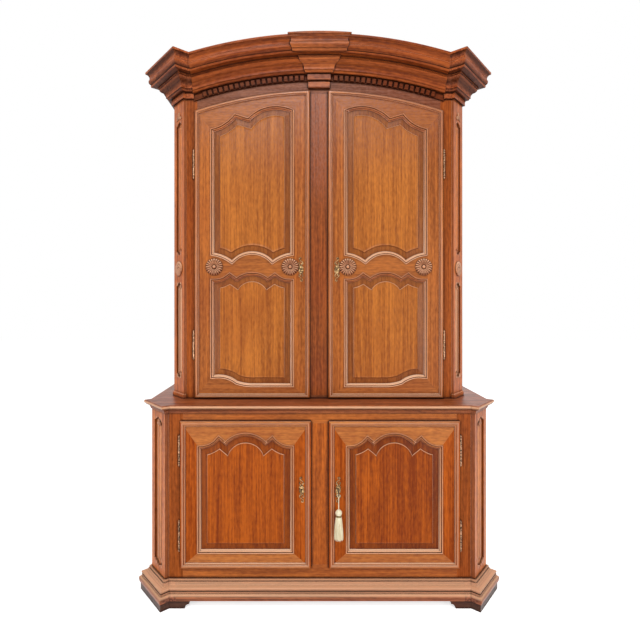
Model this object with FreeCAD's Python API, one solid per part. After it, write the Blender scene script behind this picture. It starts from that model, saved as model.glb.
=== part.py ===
import FreeCAD, Part
import math
import os
from FreeCAD import Vector

# A two-tier oak cupboard with canted corner posts, an arched cornice and four panelled doors.
# Millimetres, +Z up, +Y to the back. The origin lies on the floor under the middle of the box
# that holds the whole cupboard.

# Case layout in plan. The front corners of the posts set the widths.
base_depth = 610.0
base_front_half = 713.0
base_cant_width = 150.0
base_post_step = 18.0
base_post_thickness = 45.0
upper_set_back = 134.0
upper_front_half = 660.0
upper_cant_width = 112.0
upper_post_step = 9.0
upper_post_thickness = 36.0
cant_angle = 50.0
frame_thickness = 26.0
side_thickness = 22.0
back_thickness = 14.0
board_thickness = 18.0

# Heights of the base
foot_height = 36.0
plinth_height = 80.0
base_height = 918.0
base_top_thickness = 40.0
base_low_rail_height = 61.0
base_top_rail_height = 47.0
base_stile_width = 80.5
base_centre_post_width = 105.0

# The upper case. Its opening and its cornice are arcs about one centre.
upper_low_rail_height = 15.0
upper_stile_width = 63.5
upper_centre_post_width = 113.0
cornice_apex = 2651.0
cornice_radius = 2150.0
frieze_height = 238.0
cornice_cover = 40.0
roof_rise = 39.0
centre_post_thickness = 36.0

# Mouldings
plinth_projection = 46.0
top_projection = 28.5
cornice_projection = 108.5
cornice_height = 146.0
cornice_block_inset = 47.0
cornice_side_stub = 60.0
dentil_height = 24.0
dentil_projection = 14.0
dentil_backing = 6.0
dentil_width = 17.0
dentil_pitch = 27.0
dentil_drop = 5.0
dentil_reveal = 2.0
band_projection = 10.0
keystone_half = 42.0
keystone_step = 8.0
keystone_rise = 5.0
keystone_block_height = 36.0
keystone_block_gap = 5.0
foot_projection = 40.0
foot_wall = 68.0
foot_front_length = 118.0
foot_side_length = 70.0
foot_round = 20.0
rear_foot_size = 90.0
post_base_height = 26.0
post_base_projection = 5.0

# Doors
door_lap = 11.0
door_clearance = 2.5
lip_gap = 0.5
lip_thickness = 10.5
door_inner_thickness = 16.0
bead_rise = 3.5
bead_slope = 3.0
bead_groove = 4.0
base_bead_width = 25.0
upper_bead_width = 21.0
base_door_frame = 82.0
upper_door_frame = 81.0
sticking_width = 14.0
sticking_depth = 9.0
panel_tongue = 9.0
panel_edge_thickness = 6.0
panel_bevel = 34.0
panel_bevel_rise = 5.0
panel_field_step = 2.5
panel_float = 1.5
tenon_thickness = 8.0
tenon_length = 45.0
tenon_shoulder = 12.0

# Rails of the doors, from the edge of the door to the sight edge at its lowest, and the crests there
base_door_low_rail = 71.0
base_door_top_rail = 115.0
base_panel_crest = 57.0
upper_door_low_rail = 56.5
lower_panel_bottom_crest = 45.5
middle_rail_below = 49.0
lower_panel_crest = 31.5
middle_rail_above = 27.0
upper_panel_bottom_crest = 49.0
upper_door_top_rail = 90.5
upper_panel_extra_crest = 11.0
rosette_above_lock = 12.0
rosette_inset = 14.5
rosette_radius = 39.0
rosette_rise = 5.0
rosette_petals = 20

# Corner post carving
base_pocket_low_margin = 31.0
base_pocket_top_margin = 28.0
base_pocket_width = 88.0
upper_pocket_width = 62.0
upper_pocket_low_margin = 94.0
upper_pocket_below_lock = 60.0
upper_pocket_above_lock = 72.0
upper_pocket_top_margin = 97.0
pocket_depth = 9.0
pocket_point = 22.0
base_reed_radius = 26.0
upper_reed_radius = 19.0
reed_cover = 0.8
medallion_above_lock = 6.0
medallion_radius = 35.0

# Inside
shelf_set_back = 20.0
batten_width = 20.0
batten_height = 30.0
side_rail_width = 90.0
side_panel_thickness = 10.0
back_board_count = 8

# Ironwork
hinge_radius = 4.7
hinge_barrel = 58.0
hinge_finial = 16.0
hinge_pin_radius = 2.6
hinge_pin_length = 42.0
hinge_pin_clearance = 0.05
hinge_stand_off = 5.4
hinge_depth = 8.0
hinge_leaf_thickness = 2.4
hinge_leaf_depth = 18.0
hinge_leaf_margin = 5.0
hinge_knuckle_gap = 0.3
base_hinge_low_inset = 146.0
base_hinge_top_inset = 136.0
upper_hinge_inset = 259.0
escutcheon_inset = 42.5
escutcheon_width = 28.0
escutcheon_height = 120.0
escutcheon_thickness = 2.0
keyhole_radius = 3.8
keyhole_slot_width = 3.6
keyhole_slot_height = 12.0
base_lock_rise = 24.0
lock_width = 62.0
lock_height = 104.0
lock_thickness = 16.0
lock_wall = 2.0
lock_inset = 2.0
bolt_width = 34.0
bolt_height = 20.0
bolt_thickness = 8.0
bolt_rise = 27.0
bolt_travel = 12.0
bolt_clearance = 0.3
mortise_clearance = 1.5
key_stem_radius = 3.0
key_stem_reach = 16.0
key_seat_clearance = 0.05
key_bit_height = 8.0
key_bit_thickness = 2.6
key_bit_length = 6.0
key_chamber_clearance = 2.0
key_bow_width = 26.0
key_bow_height = 36.0
key_bow_bar = 5.0
key_bow_thickness = 4.0
tassel_head_length = 25.0
tassel_neck_radius = 12.5
tassel_neck_length = 9.0
tassel_skirt_radius = 21.0
tassel_skirt_length = 104.0
cord_radius = 2.0
cord_length = 54.0
loop_clearance = 0.35

# One overrun serves every cut, and one gap every dry fit
overrun = 6.0
fit_gap = 0.3

# Profiles, from the foot of the moulding up: share of the projection, share of the height, and the
# bulge of the edge that arrives there as a share of its chord (positive swells outward).
plinth_shares = (
    (0.97, 0.00, 0.0),
    (1.00, 0.10, 0.0),
    (0.86, 0.35, 0.20),
    (0.80, 0.37, 0.0),
    (0.80, 0.47, 0.0),
    (0.70, 0.49, 0.0),
    (0.66, 0.68, 0.40),
    (0.55, 0.70, 0.0),
    (0.28, 0.87, -0.22),
    (0.20, 0.88, 0.0),
    (0.20, 1.00, 0.0),
)
top_shares = (
    (0.16, 0.00, 0.0),
    (0.20, 0.16, 0.0),
    (0.26, 0.18, 0.0),
    (0.70, 0.50, -0.22),
    (0.78, 0.52, 0.0),
    (0.78, 0.58, 0.0),
    (0.92, 0.64, 0.0),
    (1.00, 0.78, 0.12),
    (0.80, 1.00, 0.22),
)
cornice_shares = (
    (0.22, 0.00, 0.0),
    (0.25, 0.05, 0.0),
    (0.29, 0.07, 0.0),
    (0.38, 0.25, -0.14),
    (0.52, 0.39, 0.14),
    (0.56, 0.40, 0.0),
    (0.56, 0.45, 0.0),
    (0.79, 0.47, 0.0),
    (0.81, 0.53, 0.0),
    (0.78, 0.54, 0.0),
    (0.88, 0.72, 0.16),
    (0.86, 0.735, 0.0),
    (0.95, 0.92, -0.16),
    (0.99, 0.935, 0.0),
    (1.00, 1.00, 0.0),
)
post_base_shares = (
    (1.00, 0.00, 0.0),
    (1.00, 0.70, 0.0),
    (0.30, 1.00, -0.20),
)

# Heights inside as shares of the opening, and of the upper case for its locks and middle rails
base_shelf_share = 0.494
upper_shelf_shares = (0.235, 0.469, 0.703)
upper_lock_share = 0.3592

# Shares of a size that others follow
same_point_share = 0.001
mitre_reach_share = 1.3
thin_rail_shoulder_share = 0.25
tassel_head_bulge_share = 0.33
tassel_skirt_bulge_share = 0.04

# Turned and carved shapes: share of the radius, share of the length or rise
finial_shares = ((0.0, 0.0), (0.70, 0.0), (0.70, 0.24), (0.95, 0.38), (0.95, 0.54), (0.55, 0.72),
                 (0.30, 0.90), (0.0, 1.0))
rosette_shares = ((0.0, 1.0), (0.20, 1.0), (0.24, 0.55), (0.34, 0.50), (0.80, 0.95), (1.0, 0.40), (1.0, 0.0))
petal_cut_shares = (0.02, 0.085)

# Sticking round a panel opening: share of the width, share of the depth
sticking_shares = ((0.0, 0.0), (0.0, 0.22), (0.30, 0.34), (0.70, 0.66), (1.0, 1.0))

# Serpentine edges from the hinge side to the meeting side: share of the width, share of the crest.
# A pair of points is a round stretch through the first to the second.
base_top_edge_shares = (
    (0.0, 0.0),
    ((0.12, 0.14), (0.214, 0.80)),
    (0.29, 0.32),
    ((0.50, 1.0), (0.71, 0.32)),
    (0.786, 0.80),
    ((0.88, 0.14), (1.0, 0.0)),
)
upper_top_edge_shares = (
    (0.0, 0.0),
    ((0.155, 0.22), (0.285, 0.66)),
    (0.45, 0.48),
    ((0.7125, 1.0), (1.0, 0.85)),
)
upper_bottom_edge_shares = (
    (0.0, 0.88),
    ((0.13, 0.63), (0.255, 0.0)),
    ((0.50, 1.0), (0.745, 0.0)),
    ((0.87, 0.63), (1.0, 0.88)),
)
lower_top_edge_shares = (
    (0.0, 0.0),
    ((0.13, 0.14), (0.22, 0.95)),
    (0.31, 0.16),
    ((0.50, 1.0), (0.69, 0.16)),
    (0.78, 0.95),
    ((0.87, 0.14), (1.0, 0.0)),
)
lower_bottom_edge_shares = (
    (0.0, 0.84),
    ((0.16, 0.86), (0.28, 0.27)),
    (0.33, 0.21),
    ((0.365, 0.06), (0.42, 0.0)),
    (1.0, 0.0),
)
lower_panel_bottom_edge_shares = (
    (0.0, 0.84),
    ((0.16, 0.89), (0.30, 0.30)),
    ((0.37, 0.13), (0.48, 0.0)),
    (1.0, 0.0),
)
escutcheon_shares = (
    (0.0, 1.0),
    ((-0.62, 0.93), (-0.50, 0.72)),
    ((-1.05, 0.58), (-0.55, 0.40)),
    ((-0.98, 0.0), (-0.55, -0.40)),
    ((-1.05, -0.58), (-0.50, -0.72)),
    ((-0.62, -0.93), (0.0, -1.0)),
    ((0.62, -0.93), (0.50, -0.72)),
    ((1.05, -0.58), (0.55, -0.40)),
    ((0.98, 0.0), (0.55, 0.40)),
    ((1.05, 0.58), (0.50, 0.72)),
    ((0.62, 0.93), (0.0, 1.0)),
)

# Derived places
turn = math.radians(cant_angle)
along = (math.cos(turn), math.sin(turn))
inward = (-math.sin(turn), math.cos(turn))
corner_reach = math.cos(turn) + math.sin(turn)
overall_depth = base_depth + base_post_step * math.cos(turn) + plinth_projection * corner_reach
back_y = overall_depth / 2
base_front = back_y - base_depth
upper_front = base_front + upper_set_back
plinth_top = foot_height + plinth_height
base_top_underside = base_height - base_top_thickness
base_opening_bottom = plinth_top + base_low_rail_height
base_opening_top = base_top_underside - base_top_rail_height
base_opening_half = base_front_half - base_stile_width
base_lock_height = (base_opening_bottom + base_opening_top) / 2 + base_lock_rise
base_shelf_height = base_opening_bottom + base_shelf_share * (base_opening_top - base_opening_bottom)
upper_opening_bottom = base_height + upper_low_rail_height
upper_opening_half = upper_front_half - upper_stile_width
upper_lock_height = upper_opening_bottom + upper_lock_share * (cornice_apex - upper_opening_bottom)
cornice_block_end = upper_front_half - cornice_block_inset
arch_centre = cornice_apex - cornice_radius
opening_radius = cornice_radius - frieze_height
door_top_radius = opening_radius + door_lap
roof_height = arch_centre + opening_radius + roof_rise


def arc_height(radius, x):
    """Height of an arc about the common centre of the arches, at a place across the front."""
    return arch_centre + math.sqrt(radius ** 2 - x ** 2)


block_top = arc_height(cornice_radius, cornice_block_end)
case_top = block_top - cornice_cover
band_foot = block_top - cornice_height - dentil_drop - dentil_height


# Points and outlines in a flat plane
def minus(a, b):
    return (a[0] - b[0], a[1] - b[1])


def plus(a, b, scale=1):
    return (a[0] + b[0] * scale, a[1] + b[1] * scale)


def unit(a):
    size = math.hypot(a[0], a[1])
    return (a[0] / size, a[1] / size)


def right_of(a):
    return (a[1], -a[0])


def cross(a, b):
    return a[0] * b[1] - a[1] * b[0]


def dot(a, b):
    return a[0] * b[0] + a[1] * b[1]


def meet_lines(p, d, q, e):
    """Point where the line through p along d meets the line through q along e."""
    return plus(p, d, cross(minus(q, p), e) / cross(d, e))


def circle_through(a, b, c):
    """Centre and radius of the circle through three points."""
    ab = plus(a, minus(b, a), 0.5)
    bc = plus(b, minus(c, b), 0.5)
    centre = meet_lines(ab, right_of(minus(b, a)), bc, right_of(minus(c, b)))
    return centre, math.hypot(*minus(a, centre))


def meet_line_circle(p, d, centre, radius):
    """Points where the line through p along the unit vector d meets a circle."""
    middle = plus(p, d, dot(minus(centre, p), d))
    rest = radius ** 2 - dot(minus(middle, centre), minus(middle, centre))
    reach = math.sqrt(max(rest, 0))
    return [plus(middle, d, reach), plus(middle, d, -reach)]


def meet_circles(c, r, e, s):
    """Points where two circles meet."""
    gap = math.hypot(*minus(e, c))
    d = unit(minus(e, c))
    foot = (gap ** 2 + r ** 2 - s ** 2) / (2 * gap)
    reach = math.sqrt(max(r ** 2 - foot ** 2, 0))
    middle = plus(c, d, foot)
    return [plus(middle, right_of(d), reach), plus(middle, right_of(d), -reach)]


class Outline:
    """A closed counter-clockwise loop of straight edges and arcs, kept as corners and vias."""

    def __init__(self, start, steps):
        self.corners = [start]
        self.vias = []
        for step in steps:
            is_round = isinstance(step[0], tuple)
            self.vias.append(step[0] if is_round else None)
            self.corners.append(step[1] if is_round else step)
        last = self.corners[-1]
        if math.hypot(*minus(last, start)) > fit_gap * same_point_share:
            self.vias.append(None)
        else:
            self.corners.pop()

    def edge(self, i):
        """Two corners and the via of one edge."""
        return self.corners[i], self.vias[i], self.corners[(i + 1) % len(self.corners)]

    def offset(self, distance):
        """The same loop grown outward, or shrunk where the distance is negative."""
        lines = []
        for i in range(len(self.corners)):
            a, via, b = self.edge(i)
            if via is None:
                d = unit(minus(b, a))
                lines.append(("line", plus(a, right_of(d), distance), d))
                continue
            centre, radius = circle_through(a, via, b)
            turns_left = cross(minus(via, a), minus(b, via)) > 0
            lines.append(("arc", centre, radius + distance if turns_left else radius - distance))
        corners = [self.new_corner(lines[i - 1], lines[i], self.corners[i]) for i in range(len(lines))]
        result = Outline(corners[0], corners[1:])
        result.vias = [self.new_via(i, lines[i], corners) for i in range(len(lines))]
        return result

    def new_corner(self, before, after, old):
        if before[0] == "line" and after[0] == "line":
            return meet_lines(before[1], before[2], after[1], after[2])
        if before[0] == "arc" and after[0] == "arc":
            found = meet_circles(before[1], before[2], after[1], after[2])
        elif before[0] == "line":
            found = meet_line_circle(before[1], before[2], after[1], after[2])
        else:
            found = meet_line_circle(after[1], after[2], before[1], before[2])
        return min(found, key=lambda p: math.hypot(*minus(p, old)))

    def new_via(self, i, line, corners):
        if line[0] == "line":
            return None
        a, b = corners[i], corners[(i + 1) % len(corners)]
        chord = unit(minus(b, a))
        side = 1 if cross(minus(self.corners[(i + 1) % len(corners)], self.corners[i]),
                          minus(self.vias[i], self.corners[i])) < 0 else -1
        return plus(line[1], right_of(chord), side * line[2])

    def wire(self, y):
        edges = []
        for i in range(len(self.corners)):
            a, via, b = self.edge(i)
            ends = Vector(a[0], y, a[1]), Vector(b[0], y, b[1])
            if via is None:
                edges.append(Part.makeLine(*ends))
            else:
                edges.append(Part.Arc(ends[0], Vector(via[0], y, via[1]), ends[1]).toShape())
        return Part.Wire(edges)

    def prism(self, y_front, y_rear):
        face = Part.Face(self.wire(y_front))
        return face.extrude(Vector(0, y_rear - y_front, 0))


def frustum(front, y_front, rear, y_rear):
    """Solid between two like outlines that stand at two depths."""
    return Part.makeLoft([front.wire(y_front), rear.wire(y_rear)], True, True)


def box(x0, x1, y0, y1, z0, z1):
    return Part.makeBox(x1 - x0, y1 - y0, z1 - z0, Vector(x0, y0, z0))


def plan_prism(points, z0, z1):
    corners = [Vector(x, y, z0) for x, y in points]
    return Part.Face(Part.makePolygon(corners + corners[:1])).extrude(Vector(0, 0, z1 - z0))


def rod(radius, x, z, y_front, y_rear):
    """Cylinder from front to rear."""
    return Part.makeCylinder(radius, y_rear - y_front, Vector(x, y_front, z), Vector(0, 1, 0))


def mirrored(shape):
    return shape.mirror(Vector(0, 0, 0), Vector(1, 0, 0))


def both(shapes):
    """Each solid and its mirror image on the other half."""
    return list(shapes) + [mirrored(shape) for shape in shapes]


def cut_all(shape, tools):
    return shape.cut(list(tools)) if tools else shape


def spin(shape, z_angle, place):
    """Turn about the vertical, then move the local origin to a place in plan."""
    turned = shape.copy()
    turned.rotate(Vector(0, 0, 0), Vector(0, 0, 1), z_angle)
    turned.translate(Vector(place[0], place[1], 0))
    return turned


def save(name, shapes):
    """Write one node and print how many solids it holds."""
    solids = [solid for shape in shapes for solid in shape.Solids]
    body = solids[0] if len(solids) == 1 else Part.makeCompound(solids)
    body.exportStep(os.path.join("parts", name + ".step"))
    print(name, len(solids), all(solid.isValid() for solid in solids), round(body.Volume / 1000))


# Plan of a case with canted, stepped corner posts
class Case:
    """Right half of the plan of one tier, from the middle of the front to the back."""

    def __init__(self, front, half, cant, step, thickness):
        self.front = front
        self.step = step
        self.cant = cant
        self.thickness = thickness
        self.corner = (half, front - step * math.cos(turn))
        self.front_return = plus(self.corner, inward, step)
        self.rear_corner = plus(self.corner, along, cant)
        self.side_return = plus(self.rear_corner, inward, step)
        self.side_x = self.side_return[0]
        self.inner_x = self.side_x - side_thickness
        self.path = [(0, front), self.front_return, self.corner, self.rear_corner,
                     self.side_return, (self.side_x, back_y)]

    def grown(self, distance):
        """The half path moved outward, with mitred corners."""
        points = self.path
        sides = [unit(minus(b, a)) for a, b in zip(points, points[1:])]
        moved = [plus(points[0], right_of(sides[0]), distance)]
        for i in range(1, len(sides)):
            before = plus(points[i], right_of(sides[i - 1]), distance)
            after = plus(points[i], right_of(sides[i]), distance)
            moved.append(meet_lines(before, sides[i - 1], after, sides[i]))
        moved.append(plus(points[-1], right_of(sides[-1]), distance))
        return moved

    def polygon(self, distance=0):
        half = self.grown(distance)[1:]
        return half + [(-x, y) for x, y in reversed(half)]

    def inside(self):
        """Plan of the space between the frame, the posts, the sides and the back."""
        post_face = plus(self.corner, inward, self.thickness)
        front_y = self.front + frame_thickness
        front_point = meet_lines(post_face, along, (0, front_y), (1, 0))
        side_point = meet_lines(post_face, along, (self.inner_x, 0), (0, 1))
        half = [front_point, side_point, (self.inner_x, back_y - back_thickness)]
        return half + [(-x, y) for x, y in reversed(half)]

    def post(self, z0, z1):
        """Plain corner post of the right side."""
        return self.on_cant(box(0, self.cant, 0, self.thickness, z0, z1))

    def on_cant(self, shape):
        """Carry a shape from the post's own axes (along, inward, up) to its place."""
        return spin(shape, cant_angle, self.corner)


base = Case(base_front, base_front_half, base_cant_width, base_post_step, base_post_thickness)
upper = Case(upper_front, upper_front_half, upper_cant_width, upper_post_step, upper_post_thickness)


# Mouldings
def profile_points(shares, projection, bottom, height):
    """Closed profile as (projection, height, bulge) rows, with its back on the path."""
    rows = [(projection * p, bottom + height * h, bulge) for p, h, bulge in shares]
    return [(0, bottom, 0)] + rows + [(0, bottom + height, 0)]


def profile_wire(rows, place):
    """Wire of a profile, where place turns (projection, height) into a point."""
    edges = []
    closed = rows + rows[:1]
    for (p0, z0, _), (p1, z1, bulge) in zip(closed, closed[1:]):
        a, b = (p0, z0), (p1, z1)
        if bulge == 0:
            edges.append(Part.makeLine(place(*a), place(*b)))
            continue
        middle = plus(plus(a, minus(b, a), 0.5), right_of(minus(b, a)), bulge)
        edges.append(Part.Arc(place(*a), place(*middle), place(*b)).toShape())
    return Part.Wire(edges)


def sweep(path, rows):
    """Moulding with mitred corners along a path in plan, swelling to the path's right."""
    spine = Part.makePolygon([Vector(x, y, 0) for x, y in path])
    out = right_of(unit(minus(path[1], path[0])))
    place = lambda p, z: Vector(path[0][0] + out[0] * p, path[0][1] + out[1] * p, z)
    return spine.makePipeShell([profile_wire(rows, place)], True, True, 1)


def base_feet():
    outer = base.grown(foot_projection)
    inner = base.grown(foot_projection - foot_wall)
    ring = plan_prism(outer + inner[::-1], 0, foot_height)
    front_end = base.corner[0] - foot_front_length
    rear_end = base.side_return[1] + foot_side_length
    front_foot = ring.common(box(front_end, outer[3][0] + overrun, outer[2][1] - overrun, rear_end,
                                 0, foot_height))
    front_foot = front_foot.cut(rod(foot_round, front_end, 0, outer[2][1] - overrun, rear_end))
    rear = box(base.side_x + foot_projection - rear_foot_size, base.side_x + foot_projection,
               back_y - rear_foot_size, back_y, 0, foot_height)
    return both([front_foot, rear])


def plinth():
    rows = profile_points(plinth_shares, plinth_projection, foot_height, plinth_height)
    return sweep(base.path, rows)


def plinth_front(run):
    half = run.common(box(-overrun, base.front_return[0] - plinth_projection,
                          base_front - plinth_projection - overrun, back_y, 0, base_height))
    return [half.fuse(mirrored(half)).removeSplitter()]


def plinth_returns(run):
    """Corner block lengths and side lengths of the plinth."""
    split_x = base.front_return[0] - plinth_projection
    split_y = base.side_return[1] + plinth_projection
    far_x = base.rear_corner[0] + plinth_projection * corner_reach
    low_y = base.corner[1] - plinth_projection * corner_reach
    corner = run.common(box(split_x, far_x, low_y, split_y, 0, base_height))
    side = run.common(box(split_x, far_x, split_y, back_y, 0, base_height))
    return both([corner, side])


def base_floor():
    return [plan_prism(base.inside(), base_opening_bottom - board_thickness, base_opening_bottom)]


def pocket(width, z0, z1):
    """Sunk panel of a post with a pointed head and foot, in the post's own axes."""
    half = width / 2
    outline = Outline((0, z0), [(half, z0 + pocket_point), (half, z1 - pocket_point), (0, z1),
                                (-half, z1 - pocket_point), (-half, z0 + pocket_point)])
    return outline.prism(-overrun, pocket_depth)


def reed(radius, z0, z1):
    """Half-round stave that lies in the pocket, with round ends."""
    axis_depth = radius + reed_cover
    low, high = z0 + pocket_point + radius, z1 - pocket_point - radius
    stave = Part.makeCylinder(radius, high - low, Vector(0, axis_depth, low))
    ends = [Part.makeSphere(radius, Vector(0, axis_depth, z)) for z in (low, high)]
    return stave.fuse(ends)


def carved_post(case, z0, z1, pockets, width, reed_radius):
    """Corner post with its pockets and reeds, in place on the right side."""
    post = box(0, case.cant, 0, case.thickness, z0, z1)
    middle = case.cant / 2
    for low, high in pockets:
        hollow = pocket(width, low, high)
        hollow.translate(Vector(middle, 0, 0))
        stave = reed(reed_radius, low, high).common(box(-width, width, 0, pocket_depth + fit_gap, z0, z1))
        stave.translate(Vector(middle, 0, 0))
        post = post.cut(hollow).fuse(stave)
    return post


def base_corner_posts():
    pockets = [(plinth_top + base_pocket_low_margin, base_top_underside - base_pocket_top_margin)]
    post = carved_post(base, foot_height, base_top_underside, pockets, base_pocket_width, base_reed_radius)
    return both([base.on_cant(post)])


def face_stile(case, opening_half, z0, z1):
    """Front stile from the opening to the side of the corner post."""
    plain = box(opening_half, case.corner[0], case.front, case.front + frame_thickness, z0, z1)
    return plain.cut(case.post(z0 - overrun, z1 + overrun))


def rail_tenon(opening_half, case, z0, z1):
    """Tenon of a front rail in the right-hand stile."""
    middle = case.front + frame_thickness / 2
    half = tenon_thickness / 2
    inset = min(tenon_shoulder, (z1 - z0) * thin_rail_shoulder_share)
    post_x = meet_lines(case.corner, inward, (0, middle + half), (1, 0))[0]
    end = min(opening_half + tenon_length, post_x - fit_gap)
    return box(opening_half, end, middle - half, middle + half, z0 + inset, z1 - inset)


def base_face_rails():
    rails = []
    for z0, z1 in ((foot_height, base_opening_bottom), (base_opening_top, base_top_underside)):
        plain = box(-base_opening_half, base_opening_half, base_front, base_front + frame_thickness, z0, z1)
        tenon = rail_tenon(base_opening_half, base, z0, z1)
        rails.append(plain.fuse([tenon, mirrored(tenon)]))
    return rails


def base_face_stiles(rails, hinge_leaves):
    stile = face_stile(base, base_opening_half, foot_height, base_top_underside)
    stile = stile.cut(rails)
    return both([cut_all(stile, hinge_leaves)])


def centre_post(case, width, z0, z1, lock_height):
    """Fixed post between the doors, with a mortise in each side for the lock bolts."""
    post = box(-width / 2, width / 2, case.front, case.front + centre_post_thickness, z0, z1)
    mortise = bolt_mortise(case, width, lock_height)
    return post.cut([mortise, mirrored(mortise)])


def side_frame(case, z0, z1, middle_heights):
    """Framed side of the right-hand end: two stiles, rails between them and flat panels."""
    x0, x1 = case.inner_x, case.side_x
    post = case.post(z0 - overrun, z1 + overrun)
    front_y = case.rear_corner[1]
    stile_end = case.side_return[1] + side_rail_width
    rear_start = back_y - side_rail_width
    front_stile = box(x0, x1, front_y, stile_end, z0, z1).cut(post)
    rear_stile = box(x0, x1, rear_start, back_y, z0, z1)
    half = side_rail_width / 2
    edges = [z0 + half] + list(middle_heights) + [z1 - half]
    rails = [box(x0, x1, stile_end, rear_start, z - half, z + half) for z in edges]
    panel_x = (x0 + x1) / 2
    thick = side_panel_thickness / 2
    panels = [box(panel_x - thick, panel_x + thick, stile_end, rear_start, low + half, high - half)
              for low, high in zip(edges, edges[1:])]
    return [front_stile, rear_stile] + rails + panels


def back_boards(case, z0, z1):
    """Upright boards let in between the sides."""
    pitch = 2 * case.inner_x / back_board_count
    return [box(-case.inner_x + i * pitch, -case.inner_x + (i + 1) * pitch,
                back_y - back_thickness, back_y, z0, z1) for i in range(back_board_count)]


def shelf(case, height):
    """Loose board on two battens that are fixed to the sides, set back from the locks of the doors."""
    underside = height - board_thickness
    front_y = case.front + frame_thickness + shelf_set_back
    board = plan_prism(case.inside(), underside, height)
    board = board.common(box(-case.inner_x, case.inner_x, front_y, back_y, underside, height))
    batten_front = case.inside()[1][1] + batten_width
    batten = box(case.inner_x - batten_width, case.inner_x, batten_front, back_y - back_thickness,
                 underside - batten_height, underside)
    return [board] + both([batten])


def base_top_board():
    rows = profile_points(top_shares, top_projection, base_top_underside, base_top_thickness)
    run = sweep(base.path, rows)
    core = plan_prism(base.polygon(), base_top_underside, base_height)
    return [core.fuse([run, mirrored(run)]).removeSplitter()]


# Upper case
def upper_floor():
    return [plan_prism(upper.inside(), base_height, upper_opening_bottom)]


def medallion():
    """Round carving between the two pockets of an upper post, in the post's own axes."""
    flower = rosette(medallion_radius)
    flower.translate(Vector(upper.cant / 2, 0, upper_lock_height + medallion_above_lock))
    return flower


def upper_corner_posts():
    pockets = [(base_height + upper_pocket_low_margin, upper_lock_height - upper_pocket_below_lock),
               (upper_lock_height + upper_pocket_above_lock, band_foot - upper_pocket_top_margin)]
    post = carved_post(upper, base_height, case_top, pockets, upper_pocket_width, upper_reed_radius)
    post = upper.on_cant(post.fuse(medallion()))
    rows = profile_points(post_base_shares, post_base_projection, base_height, post_base_height)
    foot = sweep([upper.front_return, upper.corner, upper.rear_corner, upper.side_return], rows)
    return both([post.fuse(foot)])


def upper_face_rails():
    """Thin bottom rail and the arched rail over the doors."""
    h = upper_opening_half
    low = box(-h, h, upper_front, upper_front + frame_thickness, base_height, upper_opening_bottom)
    high_radius = cornice_radius - cornice_cover
    arch = Outline((-h, arc_height(opening_radius, h)),
                   [((0, arch_centre + opening_radius), (h, arc_height(opening_radius, h))),
                    (h, arc_height(high_radius, h)),
                    ((0, arch_centre + high_radius), (-h, arc_height(high_radius, h)))])
    rail = arch.prism(upper_front, upper_front + frame_thickness)
    tenon = rail_tenon(h, upper, arc_height(opening_radius, h), arc_height(high_radius, h))
    return [low, rail.fuse([tenon, mirrored(tenon)])]


def upper_face_stiles(rails, hinge_leaves):
    stile = face_stile(upper, upper_opening_half, base_height, case_top).cut(rails)
    return both([cut_all(stile, hinge_leaves)])


def upper_centre_post(rails):
    top = arch_centre + opening_radius
    post = centre_post(upper, upper_centre_post_width, upper_opening_bottom, top, upper_lock_height)
    return [post.cut(rails)]


# Cornice
def cornice_rows(bottom):
    return profile_points(cornice_shares, cornice_projection, bottom, cornice_height)


def arch_wedge(x0, x1):
    """Upright slab of space between two places across the front."""
    return box(x0, x1, upper_front - 2 * cornice_projection, upper_front + overrun, upper_opening_bottom,
               cornice_apex + keystone_rise + overrun)


def revolve_arch(rows):
    """Half of an arched moulding, from the middle of the front to the right."""
    place = lambda p, z: Vector(0, upper_front - p, z)
    face = Part.Face(profile_wire(rows, place))
    sweep_angle = math.degrees(math.asin(cornice_block_end / opening_radius))
    return face.revolve(Vector(0, 0, arch_centre), Vector(0, 1, 0), sweep_angle)


def arch_mouldings(keystone):
    run = revolve_arch(cornice_rows(cornice_apex - cornice_height))
    run = run.common(arch_wedge(0, cornice_block_end)).cut(keystone)
    return both([run])


def dentil_band(keystone):
    """Backing strip and teeth under the arched moulding."""
    top = cornice_apex - cornice_height - dentil_drop
    bottom = top - dentil_height
    low, high = bottom - dentil_reveal, top + dentil_drop
    backing = revolve_arch([(0, low, 0), (dentil_backing, low, 0), (dentil_backing, high, 0), (0, high, 0)])
    half = dentil_width / 2
    tooth = box(-half, half, upper_front - dentil_projection, upper_front - dentil_backing / 2, bottom, top)
    radius = top - arch_centre
    start = (keystone_half + dentil_projection + dentil_pitch) / radius
    count = int((cornice_block_end - keystone_half - 2 * dentil_pitch) / dentil_pitch)
    teeth = []
    for i in range(count):
        one = tooth.copy()
        one.rotate(Vector(0, 0, arch_centre), Vector(0, 1, 0),
                   math.degrees(start + i * dentil_pitch / radius))
        teeth.append(one)
    band = backing.common(arch_wedge(0, cornice_block_end)).fuse(teeth).cut(keystone)
    return both([band])


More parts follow.
